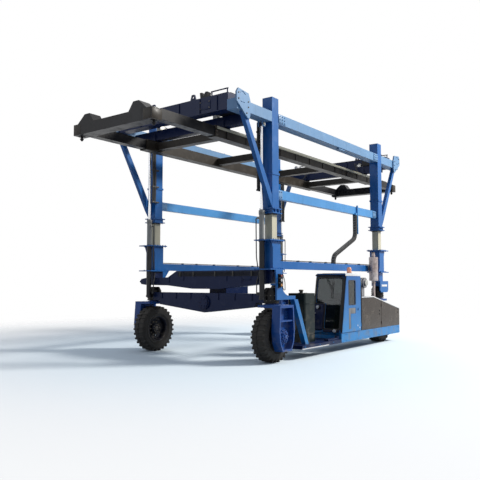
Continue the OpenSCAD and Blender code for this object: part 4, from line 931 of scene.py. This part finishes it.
def cab_inside():
    """Driver's seat, armrest levers, screen, pedals and floor mat."""
    low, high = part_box("seat")
    base = high.z - 0.590
    x0, x1, y0, y1 = low.x, high.x, low.y, high.y
    pan = cushion("seat_cushion", (x0 + 0.07, y0 + 0.005, base + 0.005),
                  (x1 - 0.005, y1 - 0.005, base + 0.120), 0.26, (-0.45, 0.45))
    cushion("seat_back", (x0 + 0.015, y0 + 0.02, base + 0.105), (x0 + 0.115, y1 - 0.02, base + 0.590),
            0.30, (-0.3, 0.15, 0.55))
    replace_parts(pan, "seat")
    stand = bmesh.new()
    middle = (y0 + y1) / 2
    block(stand, (x0 + 0.09, middle - 0.15, low.z), (x1 - 0.11, middle + 0.15, low.z + 0.06), 0.010)
    for i in range(7):
        z, step = low.z + 0.06 + i * 0.036, 0.008 * (i % 2)
        block(stand, (x0 + 0.110 + step, middle - 0.140 + step, z),
              (x1 - 0.130 - step, middle + 0.140 - step, z + 0.037), 0.008)
    block(stand, (x0 + 0.08, middle - 0.19, base - 0.030), (x1 - 0.06, middle + 0.19, base + 0.012), 0.010)
    lever_x = x1 - 0.155
    for y in (middle - 0.262, middle + 0.262):
        block(stand, (x0 + 0.11, y - 0.035, base + 0.235), (x1 - 0.12, y + 0.035, base + 0.280), 0.016)
        bar(stand, (x0 + 0.10, y, base + 0.05), (x0 + 0.16, y, base + 0.25), 0.014, 12)
        bar(stand, (x1 - 0.16, y, base + 0.28), (lever_x, y, base + 0.39), 0.009, 12)
        bar(stand, (lever_x, y, base + 0.375), (lever_x, y, base + 0.415), 0.020, 16, 0.013)
    piece("seat_stand", stand, "chassis", "console_grey", smooth=35)
    desk = bmesh.new()
    block(desk, (-0.06, 1.46, 1.02), (0.06, 1.66, 1.16), 0.012)
    block(desk, (-0.005, 1.47, 1.20), (0.020, 1.65, 1.34), 0.008)
    bar(desk, (0.008, 1.56, 1.15), (0.008, 1.56, 1.21), 0.010, 12)
    for y, z in ((1.79, 0.545), (1.90, 0.565)):
        block(desk, (0.08, y, z), (0.16, y + 0.07, z + 0.015), 0.004)
    block(desk, (-0.80, 1.46, 0.521), (0.21, 2.22, 0.530), 0.003)
    piece("cab_desk", desk, "chassis", "console_grey", smooth=35)


cab_windows()
cab_panels()
cab_trim()
cab_inside()


# Engine side

def engine_doors():
    """White trims on the doors' top edges and their latches."""
    front = [(-0.936, 1.394), (-1.730, 1.394), (-2.244, 1.285)]
    rear = [(-2.268, 1.280), (-3.618, 0.995)]
    for name, points, latch_x in (("engine_door_front", front, -2.136), ("engine_door_rear", rear, -3.510)):
        trim, levers = bmesh.new(), bmesh.new()
        edge = [(x, SKIRT_Y + 0.002, z) for x, z in points]
        for start, end in zip(edge, edge[1:]):
            plank(trim, start, end, 0.012, 0.028, 0.003)
        piece(name + "_trim", trim, name, "door_brown", WHITE)
        for z in (0.880, 0.980):
            blocks_at(levers, [latch_x], [SKIRT_Y + 0.003], [z], (0.020, 0.014, 0.034), 0.004)
            turned(levers, [(0.023, 0.0), (0.030, 0.001), (0.030, 0.004), (0.023, 0.005)],
                   (latch_x, SKIRT_Y - 0.003, z), ACROSS, 24)
        piece(name + "_latches", tidy(levers), name, "black_paint", GASKET, smooth=35)


def bay_fittings():
    """The muffler's bands and rain cap, the filter's straps and hose."""
    low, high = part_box("exhaust")
    x, y = (low.x + high.x) / 2, high.y - 0.130
    bands, cap = bmesh.new(), bmesh.new()
    for z in (1.90, 2.06, 2.22, 2.38, 2.50):
        band(bands, (x, y, z), UP, 0.130, 0.1345, 0.012, 40)
    for z in (1.80, 2.60):
        band(bands, (x, y, z), UP, 0.040, 0.053, 0.02, 28)
    piece("muffler_bands", tidy(bands), "chassis", "exhaust_grey", smooth=40)
    bar(cap, (x - 0.055, y, high.z + 0.012), (x + 0.060, y, high.z + 0.030), 0.004, 8)
    turned(cap, [(0.0, 0.0), (0.050, 0.0), (0.052, 0.006), (0.0, 0.010)],
           (x + 0.008, y, high.z + 0.012), (-0.25, 0, 1), 28)
    block(cap, (x - 0.062, y - 0.012, high.z - 0.03), (x - 0.042, y + 0.012, high.z + 0.030), 0.003)
    piece("rain_cap", tidy(cap), "chassis", "exhaust_grey", smooth=35)
    low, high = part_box("air_filter")
    x, z = (low.x + high.x) / 2, high.z - 0.150
    straps = bmesh.new()
    for y in (low.y + 0.045, low.y + 0.240):
        band(straps, (x, y, z), ACROSS, 0.150, 0.1535, 0.012, 40)
        block(straps, (x + 0.146, y - 0.015, z - 0.020), (x + 0.170, y + 0.015, z + 0.020), 0.003)
    turned(straps, [(0.0, 0.0), (0.088, 0.0), (0.090, 0.010), (0.060, 0.016), (0.0, 0.018)],
           (x, high.y - 0.001, z), ACROSS, 32)
    piece("filter_straps", tidy(straps), "chassis", "filter_silver", BOLT, smooth=35)
    y = low.y - 0.16
    pipes("filter_hose", [[(x, low.y + 0.01, z), (x, low.y - 0.12, z), (x, y, 1.50), (x, y, 1.38)]],
          0.055, "chassis", 0.11, HOSE, sides=4)


def tank_fittings():
    """Filler cap, sight gauge, hatch and straps of the tank."""
    low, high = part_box("hydraulic_tank")
    mesh, straps = bmesh.new(), bmesh.new()
    turned(mesh, [(0.0, 0.0), (0.056, 0.0), (0.060, 0.008), (0.060, 0.032), (0.052, 0.042), (0.0, 0.044)],
           (low.x + 0.200, low.y + 0.200, high.z - 0.001), UP, 32)
    blocks_at(mesh, [high.x + 0.0065], [low.y + 0.23], [low.z + 0.46], (0.015, 0.04, 0.32), 0.004)
    hatch = (low.x + 0.360, low.y + 0.340, high.z - 0.045)
    bolt_ring(mesh, hatch, UP, 0.105, 10, 0.020)
    turned(mesh, [(0.0, 0.0), (0.125, 0.0), (0.125, 0.008), (0.0, 0.008)], hatch, UP, 36)
    for z in (low.z + 0.20, low.z + 0.95):
        for x0, x1, y0, y1 in ((low.x + 0.05, high.x - 0.05, high.y - 0.001, high.y + 0.005),
                               (high.x - 0.001, high.x + 0.005, low.y + 0.05, high.y - 0.05)):
            block(straps, (x0, y0, z - 0.022), (x1, y1, z + 0.022), 0.0015)
    piece("tank_straps", tidy(straps), "chassis", "tank_green", smooth=35)
    piece("tank_fittings", tidy(mesh), "chassis", "tank_green", NUT, smooth=35)


def lamps():
    """Lenses and rims of the lamp column, base and ribs of the beacon."""
    low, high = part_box("lamp_stack")
    x = (low.x + high.x) / 2
    rims, base, bands = bmesh.new(), bmesh.new(), bmesh.new()
    for z, r, finish, name in ((1.960, 0.026, FINISH["lamp_red"], "red"), (1.860, 0.036, CLEAR_LENS, "clear"),
                               (1.750, 0.036, AMBER_LENS, "amber")):
        turned(rims, [(r - 0.004, -0.010), (r + 0.006, -0.010), (r + 0.006, 0.006), (r - 0.004, 0.008)],
               (x, high.y - 0.004, z), ACROSS, 32)
        dome = bmesh.new()
        profile = [(0.0, 0.014), (r * 0.5, 0.0125), (r * 0.85, 0.008), (r, 0.0), (r, -0.004), (0.0, -0.004)]
        turned(dome, profile, (x, high.y, z), ACROSS, 32)
        piece("lamp_lens_" + name, tidy(dome), "chassis", "lamp_red", finish, smooth=50)
    piece("lamp_rims", tidy(rims), "chassis", "lamp_red", FINISH["black_paint"], smooth=35)
    low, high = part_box("beacon")
    x, y = (low.x + high.x) / 2, (low.y + high.y) / 2
    turned(base, [(0.065, 0.0), (0.079, 0.002), (0.079, 0.022), (0.072, 0.034), (0.065, 0.034)],
           (x, y, low.z), UP, 32)
    piece("beacon_base", tidy(base), "chassis", "black_paint", GASKET, smooth=35)
    for i in range(5):
        z = low.z + 0.050 + i * 0.020
        turned(bands, [(0.0645, -0.003), (0.0680, 0.0), (0.0645, 0.003)], (x, y, z), UP, 32)
    piece("beacon_ribs", tidy(bands), "chassis", "beacon_amber", smooth=50)


def step_edges():
    """White strip along the step's lower edge, and bolts along the sill."""
    edge, bolts = bmesh.new(), bmesh.new()
    block(edge, (0.97, SKIRT_Y - 0.020, 0.236), (2.247, SKIRT_Y + 0.005, 0.262), 0.004)
    piece("step_edge", edge, "chassis", "paint_blue", WHITE)
    bolts_at(bolts, [2.12 - i * 0.70 for i in range(3)], [SKIRT_Y], [0.290], ACROSS, 0.022)
    bolts_at(bolts, [2.12 - i * 0.70 for i in range(3, 9)], [SKIRT_Y], (0.285, 0.435), ACROSS, 0.022)
    piece("sill_bolts", bolts, "chassis", "paint_blue")


engine_doors()
bay_fittings()
tank_fittings()
lamps()
step_edges()


# Upper frame and spreader

def splice_plates():
    """Plates and bolts where the beams and braces meet the masts, clips along the top beams."""
    plates, bolts = bmesh.new(), bmesh.new()
    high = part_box("top_beams")[1]
    under, brace_z = high.z - 0.240, 3.880
    for ends, side in CORNERS.values():
        x = ends * (AXLE_X - 0.135)
        for face, y in ((1, high.y), (-1, high.y - 0.270)):
            block(plates, (x - ends * 0.30, side * (y - 0.001 * face), under + 0.02),
                  (x, side * (y + face * 0.014), high.z - 0.02), 0.004)
            bolts_at(bolts, [x - ends * dx for dx in (0.05, 0.15, 0.25)], [side * (y + face * 0.014)],
                     (under + 0.05, under + 0.12, high.z - 0.05), (0, side * face, 0), 0.026)
        for face in SIDES:
            y, outer = side * (MAST_Y + face * 0.060), side * (MAST_Y + face * 0.072)
            block(plates, (x - ends * 0.26, y, brace_z - 0.095), (x, outer, brace_z + 0.095), 0.004)
            bolts_at(bolts, [x - ends * dx for dx in (0.05, 0.13, 0.21)], [outer],
                     (brace_z - 0.060, brace_z + 0.060), (0, side * face, 0), 0.024)
    for side in SIDES:
        for x in [i * 0.7 for i in range(-3, 4)]:
            block(plates, (x - 0.022, side * (MAST_Y - 0.07), high.z - 0.001),
                  (x + 0.022, side * (MAST_Y + 0.03), high.z + 0.040), 0.005)
        blocks_at(plates, [-0.45], [side * (high.y - 0.06)], [under - 0.022], (0.34, 0.08, 0.046), 0.006)
    piece("splice_plates", tidy(plates), "upper_frame", "paint_light_blue", BLUE_PAINTED_GLARE)
    piece("splice_bolts", bolts, "upper_frame", "paint_light_blue", BLUE_PAINTED_GLARE)


def end_fittings():
    """Bolts of the end plates, stiffeners and cover plates of the transverse beams."""
    plates, bolts = bmesh.new(), bmesh.new()
    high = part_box("end_plates")[1]
    middle_z = 5.76
    for ends, side in CORNERS.values():
        for dx, z in ((0.07, 5.74), (0.07, 5.87), (0.42, 5.74), (0.42, 5.62), (0.36, 5.48)):
            bolt(bolts, (ends * (high.x - dx), side * high.y, z), (0, side, 0), 0.026)
    front = high.x - 0.090
    for ends in SIDES:
        for x, face in ((front, 1), (high.x - 0.350, -1)):
            blocks_at(plates, [ends * (x + face * 0.0105)], both(0.32, 0.95, 1.45), [middle_z],
                      (0.023, 0.016, 0.32))
        blocks_at(plates, [ends * (front + 0.005)], both(1.10), [middle_z], (0.010, 0.32, 0.20), 0.004)
        bolts_at(bolts, [ends * (front + 0.010)], both(0.97, 1.23), (middle_z - 0.07, middle_z + 0.07),
                 (ends, 0, 0), 0.022)
    piece("cross_stiffeners", tidy(plates), "upper_frame", "paint_dark_blue")
    piece("end_bolts", bolts, "upper_frame", "paint_light_blue", NUT)


def hydraulics_on_top():
    """Motors, valve blocks and pipes of the hydraulic units and along the top beams."""
    units, valves = bmesh.new(), bmesh.new()
    for ends, side in CORNERS.values():
        x, y = ends * 3.79, side * 1.37
        bar(units, (x - 0.20, y - 0.06, 5.87), (x + 0.20, y - 0.06, 5.87), 0.062, 24, chamfer=0.006)
        bar(units, (x - 0.16, y + 0.09, 5.86), (x + 0.14, y + 0.09, 5.86), 0.048, 20, chamfer=0.005)
        y, top = side * 0.92, 5.735
        block(valves, (x - 0.15, y - 0.07, top - 0.115), (x + 0.02, y + 0.07, top), 0.008)
        for port_x in [x - 0.13 + i * 0.04 for i in range(4)]:
            bar(valves, (port_x, y, top), (port_x, y, top + 0.055), 0.014, 14, chamfer=0.002)
    piece("hydraulic_motors", units, "upper_frame", "filter_silver", smooth=35)
    piece("valve_blocks", valves, "upper_frame", "black_paint", BOLT, smooth=35)
    lanes, cross = [], []
    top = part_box("top_beams")[1].z + 0.024
    for s in SIDES:
        for lane in range(3):
            y, x = s * (MAST_Y - 0.05 + lane * 0.030), s * (4.16 + lane * 0.028)
            lanes.append([(-2.78, y, top - 0.028), (-2.78, y, top), (2.78, y, top), (2.78, y, top - 0.028)])
            cross.append([(x, -1.70, 5.935), (x, -1.70, 5.968), (x, 1.70, 5.968), (x, 1.70, 5.935)])
    for e, s in CORNERS.values():
        cross.append([(e * 3.64, s * 0.92, 5.73), (e * 3.54, s * 0.92, 5.70), (e * 3.50, s * 1.00, 5.45),
                      (e * 3.48, s * 1.10, 5.345)])
        cross.append([(e * 3.60, s * 0.89, 5.73), (e * 3.50, s * 0.89, 5.72), (e * 3.45, s * 1.00, 5.46),
                      (e * 3.42, s * 1.12, 5.345)])
    pipes("top_pipes", lanes, 0.009, "upper_frame", 0.03)
    pipes("cross_hoses", cross, 0.010, "upper_frame", 0.05, HOSE)


def spreader_fittings():
    """Ribs, bolts and strips of the girders, caps and marks of the arms."""
    ribs, bolts, strip = bmesh.new(), bmesh.new(), bmesh.new()
    low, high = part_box("spreader_frame")
    for side in SIDES:
        y = side * high.y
        for x in [i * 0.75 for i in range(-5, 6)]:
            block(ribs, (x - 0.008, y - side * 0.001, low.z + 0.01),
                  (x + 0.008, y + side * 0.014, high.z - 0.08))
        bolts_at(bolts, both(high.x - 0.065, high.x - 0.015), [y], [low.z + dz for dz in (0.05, 0.13, 0.21)],
                 (0, side, 0), 0.022)
        block(strip, (0.05 - high.x, y - side * 0.001, high.z - 0.075),
              (high.x - 0.05, y + side * 0.010, high.z - 0.012), 0.003)
        bolts_at(strip, [-3.95 + i * 0.3435 for i in range(24)], [y + side * 0.010], [high.z - 0.044],
                 (0, side, 0), 0.014)
    piece("girder_strip", strip, "upper_frame", "cream_steel")
    piece("girder_ribs", tidy(ribs), "upper_frame", "black_paint")
    piece("girder_bolts", bolts, "upper_frame", "black_paint", NUT)
    for name, ends in (("spreader_arm_front", 1), ("spreader_arm_rear", -1)):
        end_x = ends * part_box("spreader_arm_front")[1].x
        caps, marks = bmesh.new(), bmesh.new()
        for side in SIDES:
            x, y = ends * LOCK_X, side * LOCK_Y
            bolt_ring(caps, (x, y, LOCK_Z), UP, 0.085, 8, 0.026)
            turned(caps, [(0.0, 0.0), (0.060, 0.0), (0.060, 0.020), (0.050, 0.030), (0.0, 0.030)],
                   (x, y, LOCK_Z - 0.0005), UP, 28)
            blocks_at(marks, [end_x + ends * 0.0005], [side * 1.0925], [5.18], (0.003, 0.225, 0.21), 0.001)
            blocks_at(marks, [end_x - ends * 0.15], [side * 1.22225], [5.18], (0.28, 0.0075, 0.21), 0.003)
        piece(name + "_caps", tidy(caps), name, "black_paint", BOLT, smooth=35)
        # The marks take the girder's painted shade.
        piece(name + "_marks", tidy(marks), name, "black_paint", GIRDER_PAINTED_SHADE)


def chain_route(low, high):
    """The drag chain's middle line in the XZ plane: two bends of one radius and a straight run between."""
    start, end = Vector((-0.020, low.z)), Vector((low.x + 0.045, high.z))
    c1, c2 = start + Vector((-CHAIN_BEND, 0.040)), end + Vector((CHAIN_BEND, -0.500))
    between = c2 - c1
    tilt = math.atan2(between.y, between.x) + math.asin(2 * CHAIN_BEND / between.length) - math.pi / 2
    turns = [tilt * i / 12 for i in range(13)]
    lower = [c1 + Vector((math.cos(t), math.sin(t))) * CHAIN_BEND for t in turns]
    upper = [c2 - Vector((math.cos(t), math.sin(t))) * CHAIN_BEND for t in reversed(turns)]
    return [start] + lower + upper + [end]


def chain_links():
    """A copy of the drag chain cut into bands along its height, with link plates and bars along it."""
    low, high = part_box("drag_chain")
    links, bars, run = bmesh.new(), bmesh.new(), bmesh.new()
    travelled, due = 0.0, 0.03
    route = chain_route(low, high)
    for a, b in zip(route, route[1:]):
        length = (b - a).length
        turn = Matrix.Rotation(-math.atan2(b.y - a.y, b.x - a.x), 4, "Y")
        while due < travelled + length:
            x, z = a.lerp(b, (due - travelled) / length)
            for y, out in ((low.y, -0.006), (high.y, 0.006)):
                block(links, (x - 0.030, y - out * 0.3, z - 0.040), (x + 0.030, y + out, z + 0.040), 0.002,
                      turn)
                bar(links, (x, y, z), (x, y + out * 1.7, z), 0.011, 12)
            block(bars, (x - 0.012, low.y + 0.004, z - 0.048), (x + 0.012, high.y - 0.004, z + 0.048), 0.003,
                  turn)
            due += 0.075
        travelled += length
    run.from_mesh(frame["nodes"]["drag_chain"].data)
    bmesh.ops.remove_doubles(run, verts=run.verts, dist=0.0002)
    for i in range(1, 16):
        bmesh.ops.bisect_plane(run, geom=run.verts[:] + run.edges[:] + run.faces[:], plane_no=UP,
                               plane_co=(0.0, 0.0, low.z + (high.z - low.z) * i / 16))
    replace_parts(piece("chain_run", run, None, "chain_black", smooth=None), "drag_chain")
    piece("chain_links", links, None, "chain_black")
    piece("chain_bars", bars, None, "console_grey")


chain_links()
splice_plates()
end_fittings()
hydraulics_on_top()
spreader_fittings()


# Pipes on the lower frame

def lower_pipes():
    """Hydraulic lines of the lift cylinders and the steering, clipped to beams and masts."""
    beam_y, front_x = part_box("tie_beams")[1].y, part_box("front_crossbeam")[1].x
    tie_z = 2.33
    ties, hoses, beam, clips = [], [], [], bmesh.new()
    for side in SIDES:
        for y in (side * (beam_y - 0.040), side * (beam_y - 0.070)):
            end_y = y - side * 0.04
            ties.append([(-2.70, end_y, tie_z), (-1.95, y, tie_z), (1.95, y, tie_z), (2.70, end_y, tie_z)])
    for ends, side, mast_x, mast_y in MASTS:
        x, inner = mast_x + ends * 0.275, mast_y - side * 0.175
        wall = inner - side * 0.05
        hoses.append([(x, inner, 1.53), (x, inner - side * 0.04, 1.53), (x - ends * 0.02, wall, 1.80),
                      (x - ends * 0.09, inner - side * 0.02, 2.06)])
        hoses.append([(x, inner + side * 0.01, 3.29), (x, wall, 3.29), (x, wall, 3.10),
                      (x - ends * 0.01, wall, 2.40), (x - ends * 0.05, inner - side * 0.04, 2.16)])
    for z in (2.060, 2.032, 2.004, 1.976):
        lane = [(-0.005, -0.88), (0.018, -0.88), (0.018, 1.72), (-0.005, 1.72)]
        beam.append([(front_x + out, y, z) for out, y in lane])
    pipes("tie_pipes", ties, 0.010, "chassis", 0.05)
    pipes("cylinder_hoses", hoses, 0.013, "chassis", 0.06, HOSE, sides=4)
    pipes("beam_pipes", beam, 0.008, "chassis", 0.02)
    blocks_at(clips, [front_x + 0.014], (-0.80, -0.35, 0.35, 0.9, 1.45), [2.018],
              (0.032, 0.036, 0.120), 0.004)
    blocks_at(clips, (-1.6, -0.8, 0.4, 1.2, 1.8), both(beam_y - 0.055), [tie_z - 0.003],
              (0.036, 0.070, 0.038), 0.004)
    piece("pipe_clips", clips, "chassis", "chain_black")


lower_pipes()


# Floor, light and camera

def floor():
    """A pale floor with a painted bluish shadow near the machine, that fades out into the white backdrop."""
    mesh = bmesh.new()
    bmesh.ops.create_grid(mesh, x_segments=1, y_segments=1, size=90.0)
    data = bpy.data.meshes.new("floor")
    mesh.to_mesh(data)
    mesh.free()
    f = Finish("pale_floor")
    away = f.node("VectorMath", {"operation": "LENGTH"}, f.place, output="Value")
    path = f.node("LightPath", {}, output="Is Diffuse Ray")
    # Painted shadow: a pale blue tone near the machine that fades to white by 11 m.
    floor_tone_with_painted_shadow = f.mix(away.ramp(4.0, 11.0), (0.80, 0.90, 0.97), (0.96, 0.98, 1.0))
    tone = f.mix(path, floor_tone_with_painted_shadow, (0.26, 0.29, 0.32))
    fade = away.ramp(6.0, 16.0, 1.0, 0.0)
    data.materials.append(f.done(Base_Color=tone, Roughness=0.9, Specular_IOR_Level=0.0, Alpha=fade))
    put("floor", data)


def sky():
    """Soft light that is stronger from behind, and a white backdrop for camera, gloss and glass."""
    world = bpy.data.worlds.new("studio")
    bpy.context.scene.world = world
    world.use_nodes = True
    n = Nodes(world.node_tree)
    light = n.tree.nodes["Background"]
    toward = n.node("TexCoord", output="Generated").part("X")
    stops = [(0.45, (0.86, 0.92, 1.0)), (0.95, (0.22, 0.27, 0.36))]
    dim = n.node("ValToRGB", {"stops": stops}, n.node("MapRange", {}, toward, -1.0))
    n.feed(light.inputs["Color"], dim)
    n.feed(light.inputs["Strength"], 0.55)
    white = n.node("Background", {}, (1.0, 1.0, 1.0), 1.0)
    seen, gloss, through = (n.node("LightPath", output="Is %s Ray" % kind)
                            for kind in ("Camera", "Glossy", "Transmission"))
    backdrop = seen.math("MAXIMUM", gloss).math("MAXIMUM", through)
    mixed = n.node("MixShader", {}, backdrop, Value(n, light.outputs[0]), white)
    n.feed(n.tree.nodes["World Output"].inputs["Surface"], mixed)


camera()
floor()
sky()
lamp("sun_side", (-14.0, 20.0, 20.0), (0.0, 0.0, 2.5), 6.0, 10200.0, (1.0, 0.97, 0.92))
lamp("front_fill", (16.0, -6.0, 9.0), (0.0, 0.0, 2.5), 8.0, 200.0, (0.86, 0.92, 1.0))
bpy.context.scene.view_settings.view_transform = "Standard"
